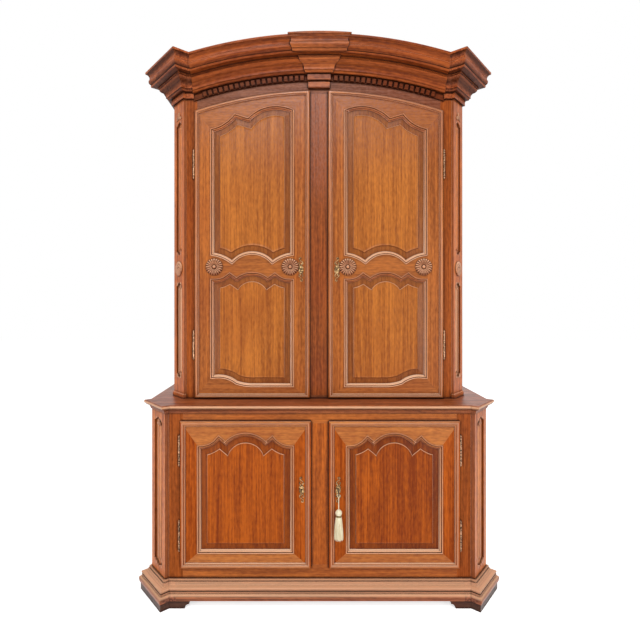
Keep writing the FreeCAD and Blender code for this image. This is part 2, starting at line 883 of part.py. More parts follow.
def cornice_keystone():
    """Keystone that breaks forward at the middle, with two blocks on the rail below it."""
    step = keystone_step
    half = keystone_half
    path = [(-half, upper_front), (-half, upper_front - step), (half, upper_front - step), (half, upper_front)]
    bottom = cornice_apex - cornice_height
    rows = profile_points(cornice_shares, cornice_projection, bottom, cornice_height + keystone_rise)
    foot = bottom - 2 * keystone_block_height + keystone_block_gap
    core = box(-half, half, upper_front - step, upper_front, foot, cornice_apex + keystone_rise)
    stone = sweep(path, rows).fuse(core)
    radius = cornice_radius + keystone_rise
    reach = half + cornice_projection + overrun
    above = Outline((-reach, arc_height(radius, reach)),
                    [((0, arch_centre + radius), (reach, arc_height(radius, reach))),
                     (reach, arch_centre + radius + overrun), (-reach, arch_centre + radius + overrun)])
    stone = stone.cut(above.prism(upper_front - 2 * cornice_projection, upper_front + overrun))
    blocks = []
    high = bottom
    for projection in (dentil_projection, band_projection):
        low = high - keystone_block_height
        wide = half + projection
        blocks.append(box(-wide, wide, upper_front - step - projection, upper_front,
                          low + keystone_block_gap, high - keystone_block_gap))
        high = low
    return stone.fuse(blocks)


def cornice_path(case):
    return [(cornice_block_end, case.front)] + case.path[1:]


def cornice_side_rows():
    """Cornice profile with a plain band under it in place of the teeth."""
    bottom = block_top - cornice_height
    rows = cornice_rows(bottom)
    return [(0, band_foot, 0), (band_projection, band_foot, 0), (band_projection, bottom, 0)] + rows[1:]


def cornice_returns():
    """Corner blocks, and the side lengths that run to the back."""
    run = sweep(cornice_path(upper), cornice_side_rows())
    split_y = upper.side_return[1] + cornice_side_stub
    reach = cornice_projection * corner_reach + overrun
    far_x = upper.rear_corner[0] + reach
    front_y = upper.corner[1] - reach
    low = upper_opening_bottom
    block = run.common(box(cornice_block_end, far_x, front_y, split_y, low, cornice_apex))
    side = run.common(box(cornice_block_end, far_x, split_y, back_y, low, cornice_apex))
    return both([block]), both([side])


# Doors, drawn on the left half
class Door:
    """One lipped, framed and panelled door of the left half, with its ironwork places."""

    def __init__(self, case, opening_half, post_width, bottom, bead_width, frame_width, lock):
        self.case = case
        self.x_hinge = -(opening_half + door_lap)
        self.x_meet = -(post_width / 2 - door_lap)
        self.bottom = bottom - door_lap
        self.bead_width = bead_width
        self.frame_width = frame_width
        self.lock_height = lock
        self.lip_back = case.front - lip_gap
        self.face = self.lip_back - lip_thickness
        self.front = self.face - bead_rise
        self.back = case.front + door_inner_thickness
        self.sight = (self.x_hinge + frame_width, self.x_meet - frame_width)
        self.lock_x = self.x_meet - escutcheon_inset

    def edge(self, shares, level, crest, backwards=False):
        """Serpentine edge as outline steps across the sight width."""
        x0, x1 = self.sight
        place = lambda p: (x0 + p[0] * (x1 - x0), level + p[1] * crest)
        points = [(None, place(shares[0]))]
        for step in shares[1:]:
            is_round = isinstance(step[0], tuple)
            points.append((place(step[0]), place(step[1])) if is_round else (None, place(step)))
        if not backwards:
            return [p if via is None else (via, p) for via, p in points]
        result = [points[-1][1]]
        for (via, _), (_, p) in zip(points[:0:-1], points[-2::-1]):
            result.append(p if via is None else (via, p))
        return result

    def loop(self, bottom_steps, top_steps):
        """Closed outline from a bottom edge, left to right, and a top edge, right to left."""
        return Outline(bottom_steps[0], bottom_steps[1:] + top_steps)

    def blank(self):
        """Solid board of the door with its lip, its beads and the sunk middle."""
        outer = self.outer()
        lip = outer.prism(self.front, self.lip_back)
        inner_edge = outer.offset(-(door_lap + door_clearance))
        inner = inner_edge.prism(self.lip_back, self.back)
        sunk = frustum(outer.offset(-(self.bead_width - bead_slope)), self.front,
                       outer.offset(-self.bead_width), self.face)
        middle = self.bead_width / 2
        half = bead_groove / 2
        valley = outer.offset(-middle)
        groove = frustum(outer.offset(-(middle - half)), self.front, valley, self.front + half)
        groove = groove.cut(frustum(outer.offset(-(middle + half)), self.front, valley, self.front + half))
        rounding = outer.prism(self.front, self.front + half)
        rounding = rounding.cut(frustum(outer.offset(-half), self.front, outer, self.front + half))
        return lip.fuse(inner).cut([sunk, groove, rounding])

    def opening(self, sight):
        """Space of one panel opening with its sticking, right through the door."""
        levels = [(sight.offset(-sticking_width * w), self.face + sticking_depth * d)
                  for w, d in sticking_shares]
        hollow = sight.prism(self.face - bead_rise, self.face)
        solids = []
        for (a, ya), (b, yb) in zip(levels, levels[1:]):
            solids.append(frustum(a, ya, b, yb))
        inner, y = levels[-1]
        solids.append(inner.prism(y, self.back + overrun))
        return hollow.fuse(solids)

    def panel_plane(self):
        return self.face + sticking_depth + fit_gap

    def groove(self, sight):
        wide = sight.offset(panel_tongue + panel_float - sticking_width)
        y = self.panel_plane() - fit_gap
        return wide.prism(y, y + panel_edge_thickness + 2 * fit_gap)

    def panel(self, sight):
        """Fielded panel with a thin edge for its groove."""
        y = self.panel_plane()
        tongue = sight.offset(panel_tongue - sticking_width).prism(y, y + panel_edge_thickness)
        start = sight.offset(-sticking_width - fit_gap)
        field = start.offset(-panel_bevel)
        bevel = frustum(field, y - panel_bevel_rise, start, y)
        raised = field.prism(y - panel_bevel_rise - panel_field_step, y - panel_bevel_rise)
        return tongue.fuse([bevel, raised])

    def mitred_space(self, sight_corners, outer_corners, far, limit):
        """Space of the bottom or top rail, bounded by the mitres at the corners."""
        (left, right), (outer_left, outer_right) = sight_corners, outer_corners
        into = 1 if limit > left[1] else -1
        w = sticking_width
        reach_left = plus(left, minus(outer_left, left), mitre_reach_share)
        reach_right = plus(right, minus(outer_right, right), mitre_reach_share)
        return [(reach_left[0], far), (reach_right[0], far), reach_right, right,
                (right[0] - w, right[1] + into * w), (right[0] - w, limit), (left[0] + w, limit),
                (left[0] + w, left[1] + into * w), left, reach_left]

    def frame(self, hardware_cuts):
        """Stiles and rails, parted along the mitres, with grooves and tenons."""
        board = self.blank()
        for sight in self.panels():
            board = board.cut([self.opening(sight), self.groove(sight)])
        board = cut_all(board, hardware_cuts)
        spaces = [space_prism(points, self.front - overrun, self.back + overrun)
                  for points in self.rail_spaces()]
        rails = [board.common(space) for space in spaces]
        stiles = board.cut(spaces)
        return self.add_tenons(stiles, rails)

    def add_tenons(self, stiles, rails):
        y = self.case.front + door_inner_thickness / 2
        half = tenon_thickness / 2
        length = min(tenon_length, self.frame_width / 2)
        tenons = []
        for levels in self.tenon_levels():
            for (z0, z1), x, sign in zip(levels, self.sight, (-1, 1)):
                start = min(x, x + sign * length)
                tenons.append(box(start, start + length, y - half, y + half, z0, z1))
        fused = [rail.fuse([tenon.common(stiles) for tenon in pair])
                 for rail, pair in zip(rails, zip(tenons[::2], tenons[1::2]))]
        return [stiles.cut(tenons)], fused


def space_prism(points, y0, y1):
    corners = [Vector(x, y0, z) for x, z in points]
    return Part.Face(Part.makePolygon(corners + corners[:1])).extrude(Vector(0, y1 - y0, 0))


def rosette(radius):
    """Round carved flower that stands on a plane facing the front, centred on its own origin."""
    points = [Vector(radius * r, -rosette_rise * h, 0) for r, h in rosette_shares]
    points.append(Vector(0, 0, 0))
    disc = Part.Face(Part.makePolygon(points + points[:1])).revolve(Vector(0, 0, 0), Vector(0, 1, 0), 360)
    start = radius * rosette_shares[2][0]
    cuts = []
    for i in range(rosette_petals):
        angle = 2 * math.pi * i / rosette_petals
        way = Vector(math.cos(angle), 0, math.sin(angle))
        foot = way * start + Vector(0, -rosette_rise * rosette_shares[4][1], 0)
        cuts.append(Part.makeCone(radius * petal_cut_shares[0], radius * petal_cut_shares[1],
                                  radius, foot, way))
    return disc.cut(cuts)


class BaseDoor(Door):
    """Door of the base: square, with one panel."""

    def __init__(self):
        super().__init__(base, base_opening_half, base_centre_post_width, base_opening_bottom,
                         base_bead_width, base_door_frame, base_lock_height)
        self.top = base_opening_top + door_lap
        self.hinge_heights = (self.bottom + base_hinge_low_inset, self.top - base_hinge_top_inset)
        self.panel_bottom = self.bottom + base_door_low_rail
        self.panel_shoulder = self.top - base_door_top_rail

    def outer(self):
        return Outline((self.x_hinge, self.bottom), [(self.x_meet, self.bottom),
                                                     (self.x_meet, self.top), (self.x_hinge, self.top)])

    def panels(self):
        x0, x1 = self.sight
        flat = [(x0, self.panel_bottom), (x1, self.panel_bottom)]
        top = self.edge(base_top_edge_shares, self.panel_shoulder, base_panel_crest, True)
        return [self.loop(flat, top)]

    def panel_outlines(self):
        return self.panels()

    def rail_spaces(self):
        x0, x1 = self.sight
        middle = (self.panel_bottom + self.panel_shoulder) / 2
        low = [(x0, self.panel_bottom), (x1, self.panel_bottom)]
        high = [(x0, self.panel_shoulder), (x1, self.panel_shoulder)]
        return [self.mitred_space(low, [(self.x_hinge, self.bottom), (self.x_meet, self.bottom)],
                                  0, middle),
                self.mitred_space(high, [(self.x_hinge, self.top), (self.x_meet, self.top)],
                                  base_height, middle)]

    def tenon_levels(self):
        inner = door_lap + door_clearance + tenon_shoulder
        low = (self.bottom + inner, self.panel_bottom - tenon_shoulder)
        high = (self.panel_shoulder + tenon_shoulder, self.top - inner)
        return [(low, low), (high, high)]


class UpperDoor(Door):
    """Door of the upper case: arched top, two panels and a carved rail between them."""

    def __init__(self):
        super().__init__(upper, upper_opening_half, upper_centre_post_width, upper_opening_bottom,
                         upper_bead_width, upper_door_frame, upper_lock_height)
        low_corner = self.top_at(self.x_hinge)
        self.hinge_heights = (self.bottom + upper_hinge_inset, low_corner - upper_hinge_inset)
        self.low_bottom = self.bottom + upper_door_low_rail
        self.low_shoulder = upper_lock_height - middle_rail_below
        self.high_bottom = upper_lock_height + middle_rail_above
        self.high_shoulder = low_corner - upper_door_top_rail
        self.high_crest = self.top_at(self.x_meet) - low_corner + upper_panel_extra_crest

    def top_at(self, x):
        return arc_height(door_top_radius, x)

    def outer(self):
        middle = (self.x_hinge + self.x_meet) / 2
        return Outline((self.x_hinge, self.bottom),
                       [(self.x_meet, self.bottom), (self.x_meet, self.top_at(self.x_meet)),
                        ((middle, self.top_at(middle)), (self.x_hinge, self.top_at(self.x_hinge)))])

    def lower_loop(self, bottom_shares):
        bottom = self.edge(bottom_shares, self.low_bottom, lower_panel_bottom_crest)
        top = self.edge(lower_top_edge_shares, self.low_shoulder, lower_panel_crest, True)
        return self.loop(bottom, top)

    def upper_loop(self):
        bottom = self.edge(upper_bottom_edge_shares, self.high_bottom, upper_panel_bottom_crest)
        top = self.edge(upper_top_edge_shares, self.high_shoulder, self.high_crest, True)
        return self.loop(bottom, top)

    def panels(self):
        return [self.lower_loop(lower_bottom_edge_shares), self.upper_loop()]

    def panel_outlines(self):
        return [self.lower_loop(lower_panel_bottom_edge_shares), self.upper_loop()]

    def share_corners(self, shares, level, crest):
        ends = (shares[0], shares[-1] if not isinstance(shares[-1][0], tuple) else shares[-1][1])
        return [(x, level + end[1] * crest) for x, end in zip(self.sight, ends)]

    def rail_spaces(self):
        low = self.share_corners(lower_bottom_edge_shares, self.low_bottom, lower_panel_bottom_crest)
        under = self.share_corners(lower_top_edge_shares, self.low_shoulder, lower_panel_crest)
        over = self.share_corners(upper_bottom_edge_shares, self.high_bottom, upper_panel_bottom_crest)
        high = self.share_corners(upper_top_edge_shares, self.high_shoulder, self.high_crest)
        low_middle = (self.low_bottom + self.low_shoulder) / 2
        high_middle = (self.high_bottom + self.high_shoulder) / 2
        w = sticking_width
        (x0, _), (x1, _) = low
        middle = [under[0], over[0], (x0 + w, over[0][1] + w), (x0 + w, high_middle),
                  (x1 - w, high_middle), (x1 - w, over[1][1] + w), over[1], under[1],
                  (x1 - w, under[1][1] - w), (x1 - w, low_middle), (x0 + w, low_middle),
                  (x0 + w, under[0][1] - w)]
        outer_low = [(self.x_hinge, self.bottom), (self.x_meet, self.bottom)]
        outer_high = [(x, self.top_at(x)) for x in (self.x_hinge, self.x_meet)]
        return [self.mitred_space(low, outer_low, 0, low_middle), middle,
                self.mitred_space(high, outer_high, cornice_apex, high_middle)]

    def tenon_levels(self):
        inner = door_lap + door_clearance + tenon_shoulder
        low = (self.bottom + inner, self.low_bottom - tenon_shoulder)
        middle = (self.low_shoulder + tenon_shoulder, self.high_bottom - tenon_shoulder)
        corners = self.share_corners(upper_top_edge_shares, self.high_shoulder, self.high_crest)
        high = [(z + tenon_shoulder, self.top_at(end) - inner)
                for (_, z), end in zip(corners, (self.x_hinge, self.x_meet))]
        return [(low, low), (middle, middle), high]

    def rosettes(self):
        places = []
        for x in (self.sight[0] + rosette_inset, self.sight[1] - rosette_inset):
            flower = rosette(rosette_radius)
            flower.translate(Vector(x, self.face, self.lock_height + rosette_above_lock))
            places.append(flower)
        return places


# Fiche hinges of the left-hand doors
def finial(radius, length, z, up):
    """Small turned end of a hinge barrel: a neck, a round knob and a tip."""
    points = [Vector(radius * r, 0, z + up * length * h) for r, h in finial_shares]
    profile = Part.Face(Part.makePolygon(points + points[:1]))
    return profile.revolve(Vector(0, 0, 0), Vector(0, 0, 1), 360)


def hinge_axis(door):
    return door.x_hinge - hinge_stand_off, door.case.front - hinge_depth


def frame_leaf(door, height):
    """Plate of the frame half, let straight back into the stile."""
    x, y = hinge_axis(door)
    half = hinge_leaf_thickness / 2
    low = height - hinge_barrel + hinge_leaf_margin
    return box(x - half, x + half, y, door.case.front + hinge_leaf_depth, low, height - hinge_leaf_margin)


def door_leaf(door, height):
    """Plate of the door half, let into the edge of the door."""
    x, y = hinge_axis(door)
    half = hinge_leaf_thickness / 2
    high = height + hinge_barrel - hinge_leaf_margin
    return box(x, door.x_hinge + hinge_leaf_depth, y - half, y + half, height + hinge_leaf_margin, high)


def frame_half(door, height):
    """Lower barrel with its finial, leaf and pin."""
    x, y = hinge_axis(door)
    gap = hinge_knuckle_gap / 2
    barrel = Part.makeCylinder(hinge_radius, hinge_barrel - gap, Vector(0, 0, -hinge_barrel))
    pin = Part.makeCylinder(hinge_pin_radius, hinge_pin_length + gap, Vector(0, 0, -gap))
    shape = barrel.fuse([pin, finial(hinge_radius, hinge_finial, -hinge_barrel, -1)])
    shape.translate(Vector(x, y, height))
    return shape.fuse(frame_leaf(door, height))


def door_half(door, height):
    """Upper bored barrel with its finial and leaf."""
    x, y = hinge_axis(door)
    gap = hinge_knuckle_gap / 2
    barrel = Part.makeCylinder(hinge_radius, hinge_barrel - gap, Vector(0, 0, gap))
    bore = Part.makeCylinder(hinge_pin_radius + hinge_pin_clearance,
                             hinge_pin_length + hinge_knuckle_gap, Vector(0, 0, 0))
    shape = barrel.fuse(finial(hinge_radius, hinge_finial, hinge_barrel, 1))
    shape.translate(Vector(x, y, height))
    bore.translate(Vector(x, y, height))
    return shape.fuse(door_leaf(door, height)).cut(bore)


# Locks
def keyhole(door, y0, y1):
    """Round hole with a slot below it for the key's bit."""
    x, z = door.lock_x, door.lock_height
    half = keyhole_slot_width / 2
    slot = box(x - half, x + half, y0, y1, z - keyhole_slot_height, z)
    return rod(keyhole_radius, x, z, y0, y1).fuse(slot)


def escutcheon(door):
    half_wide, half_high = escutcheon_width / 2, escutcheon_height / 2
    place = lambda p: (door.lock_x + p[0] * half_wide, door.lock_height + p[1] * half_high)
    steps = [(place(step[0]), place(step[1])) for step in escutcheon_shares[1:]]
    plate = Outline(place(escutcheon_shares[0]), steps).prism(door.face - escutcheon_thickness, door.face)
    return plate.cut(keyhole(door, door.front - overrun, door.back))


def inner_edge(door):
    """Place across the front of the door's edge inside the opening, at the meeting side."""
    return door.x_meet - door_lap - door_clearance


def bolt_space(door, grow, extra):
    """Box of the lock bolt, grown all round and lengthened to the meeting side."""
    x1 = inner_edge(door)
    y = door.back + lock_thickness / 2
    z = door.lock_height + bolt_rise
    wide, high = bolt_thickness / 2 + grow, bolt_height / 2 + grow
    return box(x1 - bolt_width - grow, x1 + extra, y - wide, y + wide, z - high, z + high)


def bolt_mortise(case, width, lock_height):
    """Hole for the right-hand bolt in the right side of a centre post."""
    y = case.front + door_inner_thickness + lock_thickness / 2
    z = lock_height + bolt_rise
    deep = bolt_travel - door_clearance + mortise_clearance
    wide, high = bolt_thickness / 2 + mortise_clearance, bolt_height / 2 + mortise_clearance
    return box(width / 2 - deep, width / 2 + overrun, y - wide, y + wide, z - high, z + high)


def lock_case(door):
    """Iron box on the back of the meeting stile, hollow for the bolt and the key."""
    x1 = inner_edge(door)
    x, z = door.lock_x, door.lock_height
    half = lock_height / 2
    body = box(x1 - lock_width, x1, door.back, door.back + lock_thickness, z - half, z + half)
    chamber_radius = key_stem_radius + key_bit_height + key_chamber_clearance
    chamber = rod(chamber_radius, x, z, door.back + lock_wall, door.back + lock_thickness - lock_wall)
    seat = rod(key_stem_radius + key_seat_clearance, x, z, door.back, door.back + lock_thickness + overrun)
    mouth = keyhole(door, door.back - overrun, door.back + lock_wall)
    return body.cut([chamber, seat, mouth, bolt_space(door, bolt_clearance, overrun)])


def lock_bolt(door):
    return bolt_space(door, 0, 0)


def key(door):
    """Key of a left-half door: stem, bit and an upright oval bow seen edge on."""
    x, z = door.lock_x, door.lock_height
    plate_front = door.face - escutcheon_thickness
    bow_y = key_bow_y(door)
    half = key_bow_thickness / 2
    rear = door.back + lock_thickness
    stem = rod(key_stem_radius, x, z, bow_y + key_bow_width / 2 - key_bow_bar / 2, rear)
    bit_y = door.back + lock_thickness / 2
    bit = box(x - key_bit_thickness / 2, x + key_bit_thickness / 2, bit_y - key_bit_length / 2,
              bit_y + key_bit_length / 2, z - key_stem_radius - key_bit_height, z)
    ring = oval(key_bow_width / 2, key_bow_height / 2).cut(
        oval(key_bow_width / 2 - key_bow_bar, key_bow_height / 2 - key_bow_bar))
    bow = ring.extrude(Vector(key_bow_thickness, 0, 0))
    bow.translate(Vector(x - half, bow_y, z))
    collar = rod(key_stem_radius + key_bow_thickness / 2, x, z, plate_front - key_stem_reach,
                 plate_front - key_stem_reach + key_bow_thickness)
    return stem.fuse([bit, bow, collar])


def oval(half_y, half_z):
    """Upright oval face in the plane that runs from front to rear."""
    curve = Part.Ellipse(Vector(0, 0, half_z), Vector(0, half_y, 0), Vector(0, 0, 0))
    return Part.Face(Part.Wire(curve.toShape()))


def key_bow_y(door):
    return door.face - escutcheon_thickness - key_stem_reach - key_bow_width / 2


def hang_height(door):
    """Middle of the lowest bar of the bow, where the tassel's loop hangs."""
    return door.lock_height - key_bow_height / 2 + key_bow_bar / 2


def loop_radius():
    bar = math.hypot(key_bow_bar, key_bow_thickness) / 2
    return bar + loop_clearance + cord_radius


def tassel_cord(door):
    top = hang_height(door) - loop_radius() - cord_radius
    return Part.makeCylinder(cord_radius, cord_length, Vector(door.lock_x, key_bow_y(door), top - cord_length))


def tassel(door):
    """Loop on the bow, and the turned head, neck and skirt that hang from the cord."""
    x, y, z = door.lock_x, key_bow_y(door), hang_height(door)
    cord_top = z - loop_radius() - cord_radius
    loop = Part.makeTorus(loop_radius(), cord_radius, Vector(x, y, z), Vector(0, 1, 0))
    stub = Part.makeCylinder(cord_radius, cord_radius / 2, Vector(x, y, cord_top))
    top = cord_top - cord_length
    head_low = top - tassel_head_length
    neck_low = head_low - tassel_neck_length
    skirt_low = neck_low - tassel_skirt_length
    rows = [(0, skirt_low, 0), (tassel_skirt_radius, skirt_low, 0),
            (tassel_neck_radius, neck_low, tassel_skirt_bulge_share), (tassel_neck_radius, head_low, 0),
            (cord_radius + fit_gap, top, tassel_head_bulge_share), (0, top, 0)]
    profile = Part.Face(profile_wire(rows, lambda r, h: Vector(x + r, y, h)))
    return [loop.fuse(stub), profile.revolve(Vector(x, y, 0), Vector(0, 0, 1), 360)]


def handed(side, shapes):
    """Left-hand shapes as they are, right-hand ones as mirror images."""
    return list(shapes) if side == "left" else [mirrored(shape) for shape in shapes]


def build_door(tier, door):
    """Write the nodes of the two doors of one tier."""
    cuts = [door_leaf(door, height) for height in door.hinge_heights]
    cuts.append(keyhole(door, door.front - overrun, door.back + overrun))
    stiles, rails = door.frame(cuts)
    carving = door.rosettes() if tier == "upper" else []
    panels = [door.panel(sight) for sight in door.panel_outlines()]
    pieces = {
        "stiles": stiles,
        "rails": rails + carving,
        "panels": panels,
        "hinge_halves": [door_half(door, height) for height in door.hinge_heights],
        "escutcheon": [escutcheon(door)],
        "lock_case": [lock_case(door)],
        "bolt": [lock_bolt(door)],
    }
    for side in ("left", "right"):
        for name, shapes in pieces.items():
            save(tier + "_" + side + "_door_" + name, handed(side, shapes))


def main():
    os.makedirs("parts", exist_ok=True)
    base_door, upper_door = BaseDoor(), UpperDoor()
    base_leaves = [mirrored(frame_leaf(base_door, height)) for height in base_door.hinge_heights]
    upper_leaves = [mirrored(frame_leaf(upper_door, height)) for height in upper_door.hinge_heights]
    run = plinth()
    save("base_feet", base_feet())
    save("base_plinth_front", plinth_front(run))
    save("base_plinth_returns", plinth_returns(run))
    save("base_floor", base_floor())
    save("base_corner_posts", base_corner_posts())
    rails = base_face_rails()
    save("base_face_rails", rails)
    save("base_face_stiles", base_face_stiles(rails, base_leaves))
    save("base_centre_post", [centre_post(base, base_centre_post_width, base_opening_bottom,
                                          base_opening_top, base_lock_height)])
    save("base_sides", both(side_frame(base, foot_height, base_top_underside, [])))
    save("base_back_boards", back_boards(base, foot_height, base_top_underside))
    save("base_shelf", shelf(base, base_shelf_height))
    save("base_top_board", base_top_board())
    save("upper_floor", upper_floor())
    save("upper_corner_posts", upper_corner_posts())
    arch_rails = upper_face_rails()
    save("upper_face_rails", arch_rails)
    save("upper_face_stiles", upper_face_stiles(arch_rails, upper_leaves))
    save("upper_centre_post", upper_centre_post(arch_rails))
    middle = (base_height + case_top) / 2
    save("upper_sides", both(side_frame(upper, base_height, case_top, [middle])))
    save("upper_back_boards", back_boards(upper, base_height, case_top))
    levels = [upper_opening_bottom + share * (roof_height - upper_opening_bottom)
              for share in upper_shelf_shares]
    save("upper_shelves", [solid for height in levels for solid in shelf(upper, height)])
    save("upper_roof", [plan_prism(upper.inside(), roof_height, roof_height + board_thickness)])
    keystone = cornice_keystone()
    save("cornice_keystone", [keystone])
    save("cornice_arch_mouldings", arch_mouldings(keystone))
    save("cornice_dentil_band", dentil_band(keystone))
    blocks, side_runs = cornice_returns()
    save("cornice_corner_blocks", blocks)
    save("cornice_side_mouldings", side_runs)
    for tier, door in (("base", base_door), ("upper", upper_door)):
        save(tier + "_hinge_pins", both([frame_half(door, height) for height in door.hinge_heights]))
    build_door("lower", base_door)
    build_door("upper", upper_door)
    keyed = base_door
    save("key", [mirrored(key(keyed))])
    save("tassel_cord", [mirrored(tassel_cord(keyed))])
    save("tassel", [mirrored(shape) for shape in tassel(keyed)])
    print("cord radii: one straight run, length", cord_length)


main()
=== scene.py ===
"""Looks of a two-tier oak cupboard: its finishes, ironwork, carving, tassel and studio."""
import logging
import math
import random
from dataclasses import dataclass, field, replace
from enum import Enum, IntEnum
from typing import Callable, Iterable, Sequence

import bmesh
import bpy
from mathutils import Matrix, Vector


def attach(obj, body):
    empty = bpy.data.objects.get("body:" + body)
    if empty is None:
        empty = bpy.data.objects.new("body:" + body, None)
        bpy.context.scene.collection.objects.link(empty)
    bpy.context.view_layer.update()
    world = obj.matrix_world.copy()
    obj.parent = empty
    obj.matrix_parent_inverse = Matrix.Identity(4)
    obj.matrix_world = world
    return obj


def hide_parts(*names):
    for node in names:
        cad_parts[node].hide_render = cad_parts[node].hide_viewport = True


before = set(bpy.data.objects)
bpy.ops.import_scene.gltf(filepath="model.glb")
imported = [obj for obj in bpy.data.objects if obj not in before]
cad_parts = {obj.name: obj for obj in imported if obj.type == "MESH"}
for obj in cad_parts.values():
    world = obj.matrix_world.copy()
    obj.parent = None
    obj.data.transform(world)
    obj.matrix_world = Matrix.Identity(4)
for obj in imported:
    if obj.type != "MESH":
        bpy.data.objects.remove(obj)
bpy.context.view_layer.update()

log = logging.getLogger("cupboard")

Colour = tuple[float, float, float, float]
Flat = tuple[float, float]
Step = tuple[float, float, float]
Rings = list[list[Vector]]

TURN = 2 * math.pi
MILLIMETRES = 1000

# The cupboard's own lines: the slant of its corners in plan, and the arcs of its cornice.
CANT_ANGLE = math.radians(50)
CANT_ALONG = (math.cos(CANT_ANGLE), math.sin(CANT_ANGLE))
ARCH_CENTRE = 0.501
ARCH_RADIUS = 2.15

# How tones on a screen turn into light.
SCREEN_STEPS = 255
SCREEN_TOE = 0.04045
SCREEN_SLOPE = 12.92
SCREEN_LIFT = 0.055
SCREEN_POWER = 2.4

# How the model's flats are read, and where a new mesh is sharp.
FORWARD_NORMAL = -0.999
DEPTH_DIGITS = 4
PLACE_DIGITS = 5
SHARP_ANGLE = math.radians(42)


def screen(red: float, green: float, blue: float) -> Colour:
    """Turn a tone named in screen steps into a linear colour.

    Args:
        red: Red step, 0 to 255.
        green: Green step, 0 to 255.
        blue: Blue step, 0 to 255.

    Returns:
        The linear colour with full alpha.
    """
    light = []
    for step in (red, green, blue):
        share = step / SCREEN_STEPS
        if share <= SCREEN_TOE:
            light.append(share / SCREEN_SLOPE)
        else:
            light.append(((share + SCREEN_LIFT) / (1 + SCREEN_LIFT)) ** SCREEN_POWER)
    return (*light, 1.0)


class Wire:
    """A value socket that takes part in Python sums."""

    def __init__(self, graph: "Graph", socket: bpy.types.NodeSocket) -> None:
        """Hold a socket and the graph it belongs to."""
        self.graph = graph
        self.socket = socket

    def __add__(self, other: "Term") -> "Wire":
        """Sum."""
        return self.graph.math("ADD", self, other)

    def __radd__(self, other: "Term") -> "Wire":
        """Sum with the wire on the right."""
        return self.graph.math("ADD", other, self)

    def __sub__(self, other: "Term") -> "Wire":
        """Difference."""
        return self.graph.math("SUBTRACT", self, other)

    def __rsub__(self, other: "Term") -> "Wire":
        """Difference with the wire on the right."""
        return self.graph.math("SUBTRACT", other, self)

    def __mul__(self, other: "Term") -> "Wire":
        """Product."""
        return self.graph.math("MULTIPLY", self, other)

    def __rmul__(self, other: "Term") -> "Wire":
        """Product with the wire on the right."""
        return self.graph.math("MULTIPLY", other, self)

    def __truediv__(self, other: "Term") -> "Wire":
        """Quotient."""
        return self.graph.math("DIVIDE", self, other)

    def __rtruediv__(self, other: "Term") -> "Wire":
        """Quotient with the wire below."""
        return self.graph.math("DIVIDE", other, self)

    def __pow__(self, other: "Term") -> "Wire":
        """Power."""
        return self.graph.math("POWER", self, other)

    def __rpow__(self, other: "Term") -> "Wire":
        """Power with the wire above."""
        return self.graph.math("POWER", other, self)

    def __abs__(self) -> "Wire":
        """Size without sign."""
        return self.graph.math("ABSOLUTE", self)

    def __floor__(self) -> "Wire":
        """Next whole number down."""
        return self.graph.math("FLOOR", self)

    def sine(self) -> "Wire":
        """Sine of an angle."""
        return self.graph.math("SINE", self)

    def over(self, limit: float) -> "Wire":
        """One where the value is above the limit, else zero."""
        return self.graph.math("GREATER_THAN", self, limit)

    def clamped(self) -> "Wire":
        """The value held between zero and one."""
        return Wire(self.graph, self.graph.node("Clamp", {}, {"Value": self}).outputs["Result"])

    def rise(self, low: float, high: float) -> "Wire":
        """Smooth step.

        Args:
            low: Where it is zero.
            high: Where it is one.

        Returns:
            The step.
        """
        node = self.graph.node("MapRange", {"interpolation_type": "SMOOTHSTEP"},
                               {"Value": self, "From Min": low, "From Max": high})
        return Wire(self.graph, node.outputs["Result"])


Term = Wire | float | int
Place = tuple[Wire, Wire, Wire]


